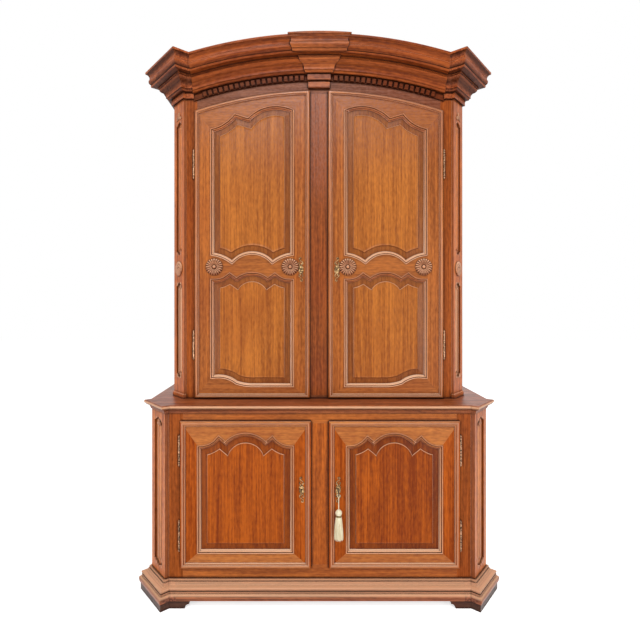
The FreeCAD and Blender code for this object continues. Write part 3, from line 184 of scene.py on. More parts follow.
class Graph:
    """A node tree and the few ways in which this object's finishes add nodes to it."""

    shade_samples = 6
    mix_factor, mix_first, mix_second, mix_result = 0, 6, 7, 2

    def __init__(self, tree: bpy.types.NodeTree) -> None:
        """Start from an empty tree."""
        self.tree = tree
        self.tree.nodes.clear()

    def node(self, kind: str, settings: dict[str, object],
             inputs: dict[str | int, object]) -> bpy.types.Node:
        """Add one node.

        Args:
            kind: Type name of the node after "ShaderNode".
            settings: Properties of the node, set first.
            inputs: Values or links of its sockets, by name or number.

        Returns:
            The new node.
        """
        node = self.tree.nodes.new("ShaderNode" + kind)
        for name, value in settings.items():
            setattr(node, name, value)
        for name, value in inputs.items():
            socket = node.inputs[name]
            if isinstance(value, Wire):
                self.tree.links.new(value.socket, socket)
            else:
                socket.default_value = value
        return node

    def out(self, kind: str, settings: dict[str, object], inputs: dict[str | int, object],
            output: str | int = 0) -> Wire:
        """Add one node and return one of its outputs."""
        return Wire(self, self.node(kind, settings, inputs).outputs[output])

    def math(self, operation: str, *terms: Term) -> Wire:
        """Add one Math node."""
        return self.out("Math", {"operation": operation}, dict(enumerate(terms)))

    def split(self, vector: Wire) -> Place:
        """The three coordinates of a vector."""
        x, y, z = self.node("SeparateXYZ", {}, {0: vector}).outputs
        return Wire(self, x), Wire(self, y), Wire(self, z)

    def place(self) -> Place:
        """The three coordinates of a point of the resting object, in metres."""
        return self.split(self.out("TexCoord", {}, {}, "Object"))

    def rising(self) -> Wire:
        """How far a surface faces upward: one on top, minus one underneath."""
        return self.split(self.out("TexCoord", {}, {}, "Normal"))[2]

    def forward(self) -> Wire:
        """How far a surface faces the front: one on a front, minus one on a back."""
        return 0 - self.split(self.out("TexCoord", {}, {}, "Normal"))[1]

    def vector(self, x: Term, y: Term, z: Term) -> Wire:
        """Three values as one vector."""
        return self.out("CombineXYZ", {}, {0: x, 1: y, 2: z})

    def noise(self, vector: Wire, scale: float = 1.0, detail: float = 2.0) -> Wire:
        """Soft noise from zero to one."""
        return self.out("TexNoise", {}, {"Vector": vector, "Scale": scale, "Detail": detail})

    def chance(self, number: Wire) -> Wire:
        """A random value for each whole number."""
        return self.out("TexWhiteNoise", {"noise_dimensions": "1D"}, {"W": number}, "Value")

    def blend(self, factor: Term, first: object, second: object) -> Wire:
        """Mix of two colours."""
        inputs = {self.mix_factor: factor, self.mix_first: first, self.mix_second: second}
        return self.out("Mix", {"data_type": "RGBA"}, inputs, self.mix_result)

    def shade(self, distance: float, inside: bool = False) -> Wire:
        """Find how far a point is closed in by what lies near it.

        Args:
            distance: How near that is, in metres.
            inside: Whether to look into the wood, which finds edges in place of corners.

        Returns:
            One in a tight corner, or on a sharp edge, and zero in the open.
        """
        settings = {"samples": self.shade_samples, "inside": inside, "only_local": inside}
        return 1 - self.out("AmbientOcclusion", settings, {"Distance": distance}, "AO")

    def bump(self, height: Wire, strength: float, distance: float) -> Wire:
        """Normal of a surface with a fine relief."""
        inputs = {"Strength": strength, "Distance": distance, "Height": height}
        return self.out("Bump", {}, inputs, "Normal")

    def surface(self, inputs: dict[str | int, object]) -> None:
        """Close the tree with one Principled surface."""
        shader = self.out("BsdfPrincipled", {}, inputs)
        self.node("OutputMaterial", {"target": "ALL"}, {"Surface": shader})


def new_finish(name: str) -> tuple[bpy.types.Material, Graph]:
    """Add an empty material and its graph.

    Args:
        name: Name of the material.

    Returns:
        The material, and the graph to fill.
    """
    material = bpy.data.materials.new(name)
    material.use_nodes = True
    return material, Graph(material.node_tree)


class Grain(Enum):
    """Which way the fibres of a piece run."""

    UP = "up"
    ACROSS = "across"
    DEEP = "deep"
    CANT = "cant"
    AROUND = "around"
    ARCH = "arch"


@dataclass(frozen=True)
class Oak:
    """Waxed old oak.

    The fields from seed_stride on are shared by all the oak: pitches of the noise along and across
    the fibres, edges of its smooth steps, strengths and tones.

    Attributes:
        name: Name of the material.
        pale: Tone of the early wood.
        deep: Tone of the late wood.
        grain: Which way the fibres run.
        seed: Place in the noise, so that no two pieces are alike.
        board: Width of the glued boards, or zero for one board.
        contrast: Strength of the streaks.
        roughness: Mean roughness of the wax.
        gloss: Specular level of the wax.
        glare_from: Height from which a painted glare of reflected light begins, or none.
        glare_share: Strength of that painted glare.
        grime_and_shade_share: Strength of the dark wax and painted shade in corners.
        grime_and_shade_reach: How far from a corner they reach, in metres.
        wear_and_highlight_share: Strength of the pale edges, partly worn, partly painted highlight.
        painted_highlight: Strength of a painted highlight, least where the wood faces down.
        upward: Strength of the painted light where the wood faces up.
        highlight_bands: Bands of painted highlight on rolls and reed work: foot, head and strength.
        highlight_band_place: Middle and half width of those bands, across the grain.
        reed_pitch: Pitch of painted reed light and shade in a band, or zero for a plain band.
        edge: Coordinate across the grain before which a return lies in painted shade, or none.
        under: Strength of the painted shade where the wood faces down.
        sunk: Depth behind which the front of a panel lies in painted shade, or none.
        board_shift: Place of the boards' joints, as a share of a board.
        seam: Strength of the dark line in each joint.
    """

    name: str
    pale: Colour
    deep: Colour
    grain: Grain = Grain.UP
    seed: float = 1.0
    board: float = 0.0
    contrast: float = 1.0
    roughness: float = 0.34
    gloss: float = 0.2
    glare_from: float | None = None
    glare_share: float = 0.5
    grime_and_shade_share: float = 0.9
    grime_and_shade_reach: float = 0.011
    wear_and_highlight_share: float = 0.4
    painted_highlight: float = 0.0
    upward: float = 0.35
    highlight_bands: tuple[Step, ...] = ()
    highlight_band_place: Flat = (0.0, 0.0)
    reed_pitch: float = 0.0
    edge: float | None = None
    under: float = 0.0
    sunk: float | None = None
    board_shift: float = 0.37
    seam: float = 0.0

    seed_stride: float = 7.31
    corner_depth: float = -0.125
    board_stride: float = 11.7
    board_tone: float = 0.34
    seam_half: float = 0.002
    streak_pitch: Flat = (0.6, 32.0)
    streak_share: float = 1.2
    fibre_pitch: Flat = (2.6, 150.0)
    fibre_share: float = 2.1
    mottle_pitch: Flat = (34.0, 105.0)
    mottle_share: float = 1.5
    fibre_detail: float = 3.0
    ring_pitch: Flat = (0.45, 4.2)
    ring_lines: float = 9.0
    ring_share: float = 0.12
    pore_pitch: Flat = (22.0, 520.0)
    pore_edges: Flat = (0.60, 0.72)
    pore_share: float = 0.40
    pore_tone: Colour = screen(70, 30, 10)
    patch_pitch: float = 2.3
    patch_edges: Flat = (0.45, 0.75)
    patch_share: float = 0.22
    stain_tone: Colour = screen(140, 52, 20)
    # Painted shade on the sunk margin of a panel.
    sunk_fade: float = 0.003
    sunk_facing: float = 0.1
    bevel_shade_share: float = 0.42
    # Painted glare: a pale sheen of reflected light high up, broken by flecks.
    glare_reach: float = 0.30
    glare_least: float = 0.25
    glare_tone: Colour = screen(148, 102, 86)
    fleck_pitch: Flat = (70.0, 190.0)
    fleck_edges: Flat = (0.42, 0.62)
    # Painted light and shade over reed work, and painted shade on a return.
    reed_fade: float = 0.004
    trough_shade_share: float = 0.6
    return_shade_share: float = 0.6
    # Painted light by the way a face turns, and painted shade underneath.
    top_edges: Flat = (0.10, 0.85)
    painted_highlight_steps: tuple[Step, Step] = ((-0.45, 0.35, 0.55), (0.1, 0.8, 0.45))
    underside_shade_edges: Flat = (0.05, 0.75)
    # Pale edges, partly worn and partly a painted highlight, not on faces that turn down.
    wear_and_highlight_reach: float = 0.0022
    wear_and_highlight_edges: Flat = (0.40, 0.80)
    wear_and_highlight_facing: Flat = (-0.6, 0.3)
    wear_and_highlight_tone: Colour = screen(240, 186, 146)
    # Painted shade near other surfaces.
    broad_shade_reach: float = 0.06
    broad_shade_edges: Flat = (0.20, 0.80)
    broad_shade_share: float = 0.55
    painted_shade_tone: Colour = screen(84, 34, 12)
    # Dark wax and painted shade in corners; the tone also darkens joints.
    grime_and_shade_edges: Flat = (0.02, 0.34)
    grime_and_shade_tone: Colour = screen(38, 14, 6)
    rough_streak: float = 0.2
    rough_pore: float = 0.12
    rough_grime_and_shade: float = 0.2
    relief: float = 0.0006
    relief_strength: float = 0.35
    relief_fibre: float = 0.5
    relief_streak: float = 0.6

    def axes(self, graph: Graph) -> Place:
        """Coordinates along the fibres, across the board's face and into it.

        Args:
            graph: Graph of the material.

        Returns:
            The three coordinates, in metres.
        """
        x, y, z = graph.place()
        cos, sin = CANT_ALONG
        if self.grain is Grain.UP:
            return z, x, y
        if self.grain is Grain.ACROSS:
            return x, z, y
        if self.grain is Grain.DEEP:
            return y, z, x
        if self.grain is Grain.ARCH:
            height = z - ARCH_CENTRE
            angle = graph.math("ARCTAN2", x, height)
            return angle * ARCH_RADIUS, (x * x + height * height) ** 0.5, y
        run = abs(x) * cos + y * sin
        face = abs(x) * sin - y * cos
        if self.grain is Grain.CANT:
            return z, run, face
        side = y.over(self.corner_depth)
        return side * y + (1 - side) * run, z, side * abs(x) + (1 - side) * face

    def boards(self, graph: Graph, along: Wire, wide: Wire) -> tuple[Term, Term, Wire]:
        """Part the wood into glued boards, where it has them.

        Args:
            graph: Graph of the material.
            along: Coordinate along the fibres.
            wide: Coordinate across the boards.

        Returns:
            The tone of each board, the dark line of its joints, and the coordinate along the fibres
            with every board cut from another length.
        """
        if not self.board:
            return 0.5, 0.0, along
        count = wide / self.board + self.board_shift
        index = math.floor(count)
        joint = abs(count - index - 0.5).over(0.5 - self.seam_half / self.board) * self.seam
        chance = graph.chance(index + self.seed)
        return 0.5 + (chance - 0.5) * self.board_tone, joint, along + chance * self.board_stride

    def paint_band_light(self, graph: Graph, colour: Wire, wide: Wire, z: Wire) -> Wire:
        """Paint highlight bands, light and shade over reed work, and shade on the return beside it.

        Args:
            graph: Graph of the material.
            colour: Colour so far.
            wide: Coordinate across the grain.
            z: Height.

        Returns:
            The new colour.
        """
        # A painted highlight on each band; over reed work, painted shade between the crests.
        for foot, head, share in self.highlight_bands:
            middle, half = self.highlight_band_place
            across = 1 - abs(wide - middle).rise(half - self.reed_fade, half)
            band = z.rise(foot, foot + self.reed_fade) * (1 - z.rise(head - self.reed_fade, head))
            if self.reed_pitch:
                crest = 0.5 + ((wide - middle) * (TURN / self.reed_pitch)).sine() * 0.5
                trough = across * band * (1 - crest) * share * self.trough_shade_share
                colour = graph.blend(trough, colour, self.grime_and_shade_tone)
                band = band * crest
            colour = graph.blend(across * band * share, colour, self.wear_and_highlight_tone)
        # Painted shade on the return beside the reed work.
        if self.edge is not None:
            aside = 1 - wide.over(self.edge)
            colour = graph.blend(aside * self.return_shade_share, colour, self.painted_shade_tone)
        return colour

    def paint_facing_light(self, graph: Graph, colour: Wire) -> Wire:
        """Paint light on faces that turn up, pale the edges, and paint shade on undersides.

        Args:
            graph: Graph of the material.
            colour: Colour so far.

        Returns:
            The new colour.
        """
        rising = graph.rising()
        # Painted light on faces that turn up, and a painted highlight on all but undersides.
        facing_light = rising.rise(*self.top_edges) * self.upward
        if self.painted_highlight:
            sides, tops = (rising.rise(low, high) * share for low, high, share in self.painted_highlight_steps)
            facing_light = facing_light + (sides + tops) * self.painted_highlight
        colour = graph.blend(facing_light.clamped(), colour, self.wear_and_highlight_tone)
        # Painted shade on faces that turn down.
        if self.under:
            below = (0 - rising).rise(*self.underside_shade_edges)
            colour = graph.blend(below * self.under, colour, self.grime_and_shade_tone)
        # Pale edges: partly worn, partly a painted highlight; not on faces that turn down.
        wear_and_highlight = graph.shade(self.wear_and_highlight_reach, inside=True).rise(*self.wear_and_highlight_edges)
        wear_and_highlight = wear_and_highlight * rising.rise(*self.wear_and_highlight_facing)
        return graph.blend(wear_and_highlight * self.wear_and_highlight_share, colour, self.wear_and_highlight_tone)

    def material(self) -> bpy.types.Material:
        """Build the finish.

        Returns:
            The new material.
        """
        material, graph = new_finish(self.name)
        along, wide, deep = self.axes(graph)
        tone, joint, along = self.boards(graph, along + self.seed * self.seed_stride, wide)

        def fibres(pitch: Flat, detail: float) -> Wire:
            """Noise that is drawn out along the fibres."""
            point = graph.vector(along * pitch[0], wide * pitch[1], deep * pitch[1])
            return graph.noise(point, detail=detail)

        streak, fine, mottle = (fibres(pitch, self.fibre_detail) for pitch in
                                (self.streak_pitch, self.fibre_pitch, self.mottle_pitch))
        rings = (fibres(self.ring_pitch, 1.0) * (self.ring_lines * TURN)).sine()
        pores = fibres(self.pore_pitch, 1.0).rise(*self.pore_edges)
        x, y, z = graph.place()
        patch = graph.noise(graph.vector(x, y, z), self.patch_pitch).rise(*self.patch_edges)
        drawn = (streak - 0.5) * self.streak_share + (fine - 0.5) * self.fibre_share
        drawn = drawn + rings * self.ring_share
        depth = tone + (mottle - 0.5) * self.mottle_share + drawn * self.contrast
        colour = graph.blend(depth.clamped(), self.pale, self.deep)
        colour = graph.blend(patch * self.patch_share, colour, self.stain_tone)
        colour = graph.blend(pores * self.pore_share, colour, self.pore_tone)
        if self.seam:
            colour = graph.blend(joint, colour, self.grime_and_shade_tone)
        # Painted shade on the sunk margin of a panel, where it faces forward.
        if self.sunk is not None:
            bevel = y.rise(self.sunk, self.sunk + self.sunk_fade)
            bevel = bevel * graph.forward().over(self.sunk_facing)
            colour = graph.blend(bevel * self.bevel_shade_share, colour, self.painted_shade_tone)
        # Painted glare: a pale sheen of reflected light, broken by flecks.
        if self.glare_from is not None:
            flecks = fibres(self.fleck_pitch, 2.0).rise(*self.fleck_edges)
            veil = z.rise(self.glare_from, self.glare_from + self.glare_reach)
            veil = veil * (self.glare_least + (1 - self.glare_least) * flecks)
            colour = graph.blend(veil * self.glare_share, colour, self.glare_tone)
        colour = self.paint_facing_light(graph, self.paint_band_light(graph, colour, wide, z))
        # Painted shade near other surfaces.
        broad_shade = graph.shade(self.broad_shade_reach).rise(*self.broad_shade_edges)
        colour = graph.blend(broad_shade * self.broad_shade_share, colour, self.painted_shade_tone)
        # Dark wax and painted shade in corners.
        grime_and_shade = graph.shade(self.grime_and_shade_reach).rise(*self.grime_and_shade_edges)
        colour = graph.blend(grime_and_shade * self.grime_and_shade_share, colour, self.grime_and_shade_tone)
        roughness = (self.roughness + (streak - 0.5) * self.rough_streak + pores * self.rough_pore
                     + grime_and_shade * self.rough_grime_and_shade)
        relief = fine * self.relief_fibre + streak * self.relief_streak - pores
        graph.surface({"Base Color": colour, "Roughness": roughness.clamped(),
                       "Specular IOR Level": self.gloss,
                       "Normal": graph.bump(relief, self.relief_strength, self.relief)})
        return material


@dataclass(frozen=True)
class Metal:
    """Old metal with dull patches, and dark dirt and painted shade in its corners.

    Attributes:
        name: Name of the material.
        bright: Tone between the dull patches.
        dull: Tone of the dull patches, and of the dirt and painted shade in corners.
        roughness: Roughness where it is rubbed.
    """

    name: str
    bright: Colour
    dull: Colour
    roughness: float

    patch_pitch: float = 160.0
    patch_edges: Flat = (0.38, 0.62)
    patch_share: float = 0.85
    scratch_pitch: float = 960.0
    scratch_detail: float = 2.0
    patch_detail: float = 3.0
    grime_and_shade_reach: float = 0.004
    grime_and_shade_edges: Flat = (0.15, 0.8)
    grime_and_shade_share: float = 0.7
    rough_patch: float = 0.12
    rough_scratch: float = 0.10
    rough_grime_and_shade: float = 0.25
    relief: float = 0.0003
    relief_strength: float = 0.3
    relief_patch: float = 0.6
    relief_scratch: float = 0.4

    def material(self) -> bpy.types.Material:
        """Build the finish.

        Returns:
            The new material.
        """
        material, graph = new_finish(self.name)
        point = graph.vector(*graph.place())
        patch = graph.noise(point, self.patch_pitch, self.patch_detail)
        scratch = graph.noise(point, self.scratch_pitch, self.scratch_detail)
        # Dark dirt and painted shade in corners.
        grime_and_shade = graph.shade(self.grime_and_shade_reach).rise(*self.grime_and_shade_edges)
        dullness = patch.rise(*self.patch_edges) * self.patch_share + grime_and_shade * self.grime_and_shade_share
        colour = graph.blend(dullness.clamped(), self.bright, self.dull)
        roughness = (self.roughness + patch * self.rough_patch + scratch * self.rough_scratch
                     + grime_and_shade * self.rough_grime_and_shade)
        relief = patch * self.relief_patch + scratch * self.relief_scratch
        graph.surface({"Base Color": colour, "Metallic": 1.0, "Roughness": roughness.clamped(),
                       "Normal": graph.bump(relief, self.relief_strength, self.relief)})
        return material


@dataclass(frozen=True)
class Silk:
    """Twisted silk thread.

    Attributes:
        name: Name of the material.
        pale: Tone of the outer threads.
        deep: Tone between them.
    """

    name: str
    pale: Colour
    deep: Colour

    strand_pitch: float = 420.0
    strand_length: float = 6
    strand_share: float = 2.4
    twist_pitch: float = 900.0
    twist_lean: float = 0.6
    twist_share: float = 0.05
    # Painted shade between the threads.
    thread_shade_reach: float = 0.003
    thread_shade_edges: Flat = (0.1, 0.9)
    thread_shade_share: float = 0.5
    mean_depth: float = 0.28
    roughness: float = 0.55
    sheen: float = 0.25
    gloss: float = 0.3
    relief: float = 0.0003
    relief_strength: float = 0.3
    relief_twist: float = 0.5

    def material(self) -> bpy.types.Material:
        """Build the finish.

        Returns:
            The new material.
        """
        material, graph = new_finish(self.name)
        x, y, z = graph.place()
        pitch = self.strand_pitch
        strand = graph.noise(graph.vector(x * pitch, y * pitch, z * self.strand_length))
        twist = ((x + y + z * self.twist_lean) * (self.twist_pitch * TURN)).sine()
        # Painted shade between the threads.
        hollow = graph.shade(self.thread_shade_reach).rise(*self.thread_shade_edges)
        depth = ((strand - 0.5) * self.strand_share + self.mean_depth + hollow * self.thread_shade_share
                 + twist * self.twist_share)
        colour = graph.blend(depth.clamped(), self.pale, self.deep)
        relief = twist * self.relief_twist + strand
        graph.surface({"Base Color": colour, "Roughness": self.roughness,
                       "Sheen Weight": self.sheen, "Specular IOR Level": self.gloss,
                       "Normal": graph.bump(relief, self.relief_strength, self.relief)})
        return material


# Shapes
def smooth_line(points: Sequence[Flat], steps: int = 6) -> list[Flat]:
    """Round line through flat points.

    Args:
        points: Points that the line passes through.
        steps: Parts of each stretch.

    Returns:
        Close points of the line.
    """
    rows = [Vector(p) for p in points]
    padded = [rows[0] * 2 - rows[1]] + rows + [rows[-1] * 2 - rows[-2]]
    line = []
    for a, b, c, d in zip(padded, padded[1:], padded[2:], padded[3:]):
        for step in range(steps):
            t = step / steps
            line.append(0.5 * (2 * b + (c - a) * t + (2 * a - 5 * b + 4 * c - d) * t ** 2
                               + (3 * b - a - 3 * c + d) * t ** 3))
    line.append(rows[-1])
    return [(p.x, p.y) for p in line]


def tube_rings(line: Sequence[Vector], radius: Callable[[float], float], sides: int) -> Rings:
    """Rings of a round tube along a line, without twist.

    Args:
        line: Points of the middle line.
        radius: Radius for each share of the line.
        sides: Points of each ring.

    Returns:
        The rings from the first point to the last.
    """
    rings = []
    across = None
    for i, point in enumerate(line):
        ahead = (line[min(i + 1, len(line) - 1)] - line[max(i - 1, 0)]).normalized()
        if across is None:
            across = ahead.orthogonal().normalized()
        across = (across - ahead * across.dot(ahead)).normalized()
        other = ahead.cross(across)
        size = radius(i / (len(line) - 1))
        rings.append([point + (across * math.cos(a) + other * math.sin(a)) * size
                      for a in (TURN * k / sides for k in range(sides))])
    return rings


class Shape:
    """Points and faces of one new piece, gathered part by part."""

    def __init__(self) -> None:
        """Start empty."""
        self.points: list[Vector] = []
        self.faces: list[list[int]] = []
        self.inks: list[int] = []

    def skin(self, rings: Rings, closed: bool = False,
             ink: Callable[[int, int], int] = lambda i, k: 0) -> None:
        """Add the skin over rings of equal length.

        Args:
            rings: The rings in order.
            closed: Whether the last ring joins the first. Open ends get a flat cap.
            ink: Number of the finish of each face, from its ring and its side.
        """
        start, sides = len(self.points), len(rings[0])
        for ring in rings:
            self.points.extend(ring)
        count = len(rings)
        for i in range(count if closed else count - 1):
            a, b = start + i * sides, start + (i + 1) % count * sides
            for k in range(sides):
                m = (k + 1) % sides
                self.faces.append([a + k, a + m, b + m, b + k])
                self.inks.append(ink(i, k))
        if not closed:
            self.faces.append([start + k for k in reversed(range(sides))])
            self.faces.append([start + (count - 1) * sides + k for k in range(sides)])
            self.inks.extend((0, 0))

    def tube(self, line: Sequence[Vector], radius: Callable[[float], float],
             sides: int = 8) -> None:
        """Add a round tube along a line."""
        self.skin(tube_rings(line, radius, sides))

    def moved(self, change: Callable[[Vector], Vector]) -> "Shape":
        """Carry every point to its new place."""
        self.points = [change(p) for p in self.points]
        return self

    def piece(self, name: str, body: str, slot: str,
              *finishes: bpy.types.Material) -> bpy.types.Object:
        """Make the object, give it its finishes and tie it to its body.

        Args:
            name: Name of the piece.
            body: Body that it rides on.
            slot: Not used.
            finishes: Its materials, in the order of the faces' numbers.

        Returns:
            The new object.
        """
        mesh = bpy.data.meshes.new(name)
        mesh.from_pydata([tuple(p) for p in self.points], [], self.faces)
        mesh.polygons.foreach_set("material_index", self.inks)
        mesh.validate()
        skin = bmesh.new()
        skin.from_mesh(mesh)
        bmesh.ops.recalc_face_normals(skin, faces=skin.faces)
        skin.to_mesh(mesh)
        skin.free()
        mesh.polygons.foreach_set("use_smooth", [True] * len(mesh.polygons))
        mesh.set_sharp_from_angle(angle=SHARP_ANGLE)
        for finish in finishes:
            mesh.materials.append(finish)
        piece = bpy.data.objects.new(name, mesh)
        bpy.context.scene.collection.objects.link(piece)
        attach(piece, body)
        log.info("%s: %d points on %s", name, len(self.points), body)
        return piece


def dress(node: str, finish: bpy.types.Material) -> None:
    """Give a node of the model its finish.

    Args:
        node: Name of the node.
        finish: Its material.
    """
    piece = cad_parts[node]
    piece.data.materials.clear()
    piece.data.materials.append(finish)
    log.info("%s: %s", node, finish.name)


# Mouldings and carvings
ROLL_SHARE = 0.62


def flat_faces(node: str) -> tuple[list[bpy.types.MeshPolygon], list[float]]:
    """Forward flats of a node.

    Args:
        node: Name of the node.

    Returns:
        Its faces that look forward, and their depths from the front on.
    """
    faces = [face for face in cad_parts[node].data.polygons if face.normal.y < FORWARD_NORMAL]
    return faces, sorted({round(face.center.y, DEPTH_DIGITS) for face in faces})


def panel_lines(node: str, row: int) -> list[list[Flat]]:
    """Lines where the forward flats of a node end, read from its mesh.

    Args:
        node: Node of the model.
        row: Which flats, counted from the front.

    Returns:
        Closed lines of x and z, anticlockwise to someone in front: the rims of the front flats, or
        the holes in the flats behind them.
    """
    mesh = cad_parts[node].data
    flats, depths = flat_faces(node)
    edges = set()
    for face in flats:
        if round(face.center.y, DEPTH_DIGITS) == depths[row]:
            places = [mesh.vertices[v].co for v in face.vertices]
            ring = [(round(p.x, PLACE_DIGITS), round(p.z, PLACE_DIGITS)) for p in places]
            edges.update(zip(ring, ring[1:] + ring[:1]))
    after = {a: b for a, b in edges if (b, a) not in edges}
    lines = []
    while after:
        start, place = after.popitem()
        line = [start]
        while place != start:
            line.append(place)
            place = after.pop(place)
        area = sum(a[0] * b[1] - b[0] * a[1] for a, b in zip(line, line[1:] + line[:1]))
        if area < 0:
            line.reverse()
        if row == 0 or area < 0:
            lines.append(line)
    return lines


class Ink(IntEnum):
    """Finishes of a small moulding, in the order of its material slots."""

    UPRIGHT = 0
    LEVEL = 1
    # The dark finish of painted shade in quirks and hollows.
    HOLLOW = 2
    # The backs and fronts of a bead may take different finishes, one with a painted highlight.
    UPRIGHT_BACK = 3
    LEVEL_BACK = 4


class Section:
    """Section of a small moulding, drawn from its outer edge inward, in millimetres.

    Places are given as distance out from the line it follows and height proud of its flat.
    """

    level_slope = 0.35

    def __init__(self, out: float, proud: float) -> None:
        """Start at the outer edge.

        Args:
            out: Distance out of the first point.
            proud: Its height.
        """
        self.points: list[Flat] = [(out, proud)]
        self.hollows: set[int] = set()
        self.backs: set[int] = set()

    def to(self, out: float, proud: float, hollow: bool = False) -> "Section":
        """Go straight on.

        Args:
            out: Where the face ends.
            proud: Height at its end.
            hollow: Whether the face takes the dark finish of painted shade.

        Returns:
            The same section.
        """
        if hollow:
            self.hollows.add(len(self.points) - 1)
        self.points.append((out, proud))
        return self

    def bead(self, out: float, proud: float, rise: float, parts: int = 7) -> "Section":
        """Go on in a round bead.

        Args:
            out: Where it ends.
            proud: Height at its end.
            rise: How far it swells over the straight way there.
            parts: Facets of the bead.

        Returns:
            The same section.
        """
        start = self.points[-1]
        for k in range(1, parts + 1):
            angle = math.pi * k / parts
            share = (1 - math.cos(angle)) / 2
            if 2 * k <= parts:
                self.backs.add(len(self.points) - 1)
            self.points.append((start[0] + (out - start[0]) * share,
                                start[1] + (proud - start[1]) * share + rise * math.sin(angle)))
        return self

    def closed(self, depth: float) -> "Section":
        """Close the section inside the wood.

        Args:
            depth: How deep its ends go in.

        Returns:
            The same section.
        """
        first, last = self.points[0], self.points[-1]
        self.points += [(last[0], last[1] - depth), (first[0], first[1] - depth)]
        return self

    def run(self, shape: Shape, line: Sequence[Flat], depth: float) -> None:
        """Carry the section round a closed line, mitred at its corners.

        Its faces are numbered as Ink says: the backs are the outer sides of the beads.

        Args:
            shape: Shape that takes it.
            line: Closed line, anticlockwise to someone in front.
            depth: Depth of the flat that it stands on.
        """
        corners = [Vector(p) for p in line]
        ways = [(b - a).normalized() for a, b in zip(corners, corners[1:] + corners[:1])]
        rings, level = [], []
        for i, corner in enumerate(corners):
            before, after = (Vector((way.y, -way.x)) for way in (ways[i - 1], ways[i]))
            mitre = (before + after) / (1 + before.dot(after))
            level.append(abs(ways[i].x) > self.level_slope)
            rings.append([Vector((corner.x + mitre.x * out / MILLIMETRES,
                                  depth - proud / MILLIMETRES,
                                  corner.y + mitre.y * out / MILLIMETRES))
                          for out, proud in self.points])

        def ink(i: int, k: int) -> int:
            """Choose the finish of one face.

            Args:
                i: Stretch of the line.
                k: Facet of the section.

            Returns:
                The number of the finish.
            """
            if k in self.hollows:
                return Ink.HOLLOW
            if k in self.backs:
                return Ink.LEVEL_BACK if level[i] else Ink.UPRIGHT_BACK
            return Ink.LEVEL if level[i] else Ink.UPRIGHT

        shape.skin(rings, closed=True, ink=ink)


def sticking_section() -> Section:
    """Two beads and a cove between a frame's face and its panel.

    Returns:
        The closed section.
    """
    section = Section(20.6, 8.9).to(20.4, 9.4).bead(14.4, 9.2, 2.0)
    section.to(13.8, 7.6, True).to(12.8, 7.2, True).bead(6.2, 5.0, 2.4)
    section.to(5.2, 3.9, True).to(2.6, 2.3).to(1.2, 1.5).to(0.4, 0.6, True)
    return section.closed(5.8)


def field_section() -> Section:
    """Rounded rim of a raised panel.

    Returns:
        The closed section.
    """
    section = Section(7.6, -4.4).to(7.2, -2.4, True).bead(3.2, 0.3, 0.9, 5)
    return section.to(-3.4, 0.25).to(-5.2, -0.1).closed(5.0)


def border_section(width: float) -> Section:
    """Broad roll and a small bead round a door.

    Args:
        width: Width of the door's border.

    Returns:
        The closed section.
    """
    roll = ROLL_SHARE * width
    section = Section(-1.0, -1.0).bead(-roll, -0.2, 2.9, 9).to(-0.5 - roll, -1.0, True)
    section.to(-1.3 - roll, -1.0, True).to(-1.8 - roll, -0.3).bead(2.2 - width, -0.6, 1.2, 5)
    return section.to(1.4 - width, -1.8, True).to(-0.4 - width, -3.3).closed(5.0)


@dataclass
class Flower:
    """Round carving drawn as heights over a disc.

    Attributes:
        radius: Its radius, in millimetres.
        height: Height at each share of the radius and angle, in millimetres.
        hollow: Whether such a place lies in a hollow.
    """

    radius: float
    height: Callable[[float, float], float]
    hollow: Callable[[float, float], bool]

    rings: int = 26
    spokes: int = 240
    centre_share: float = 0.004

    def build(self, shape: Shape, place: Callable[[float, float, float], Vector]) -> None:
        """Add the carving.

        Args:
            shape: Shape that takes it.
            place: Carries a point across, up and out, in metres, to its place.
        """
        shares = [self.centre_share] + [k / self.rings for k in range(1, self.rings + 1)]
        angles = [TURN * k / self.spokes for k in range(self.spokes)]
        rows = []
        for share in shares:
            size = self.radius * share / MILLIMETRES
            rows.append([place(size * math.cos(angle), size * math.sin(angle),
                               self.height(share, angle) / MILLIMETRES) for angle in angles])
        rows.append([place(self.radius * math.cos(angle) / MILLIMETRES,
                           self.radius * math.sin(angle) / MILLIMETRES, 0.0) for angle in angles])

        def ink(i: int, k: int) -> int:
            """Finish of one face: the hollows take the dark finish of painted shade."""
            return int(i < len(shares) and self.hollow(shares[i], TURN * (k + 0.5) / self.spokes))

        shape.skin(rows, ink=ink)


def between(share: float, stops: Sequence[Flat]) -> float:
    """Go straight between stops.

    Args:
        share: Place between zero and one.
        stops: Places and values, in order.

    Returns:
        The value at the place.
    """
    for (a, low), (b, high) in zip(stops, stops[1:]):
        if share <= b:
            return low + (high - low) * (share - a) / (b - a)
    return stops[-1][1]


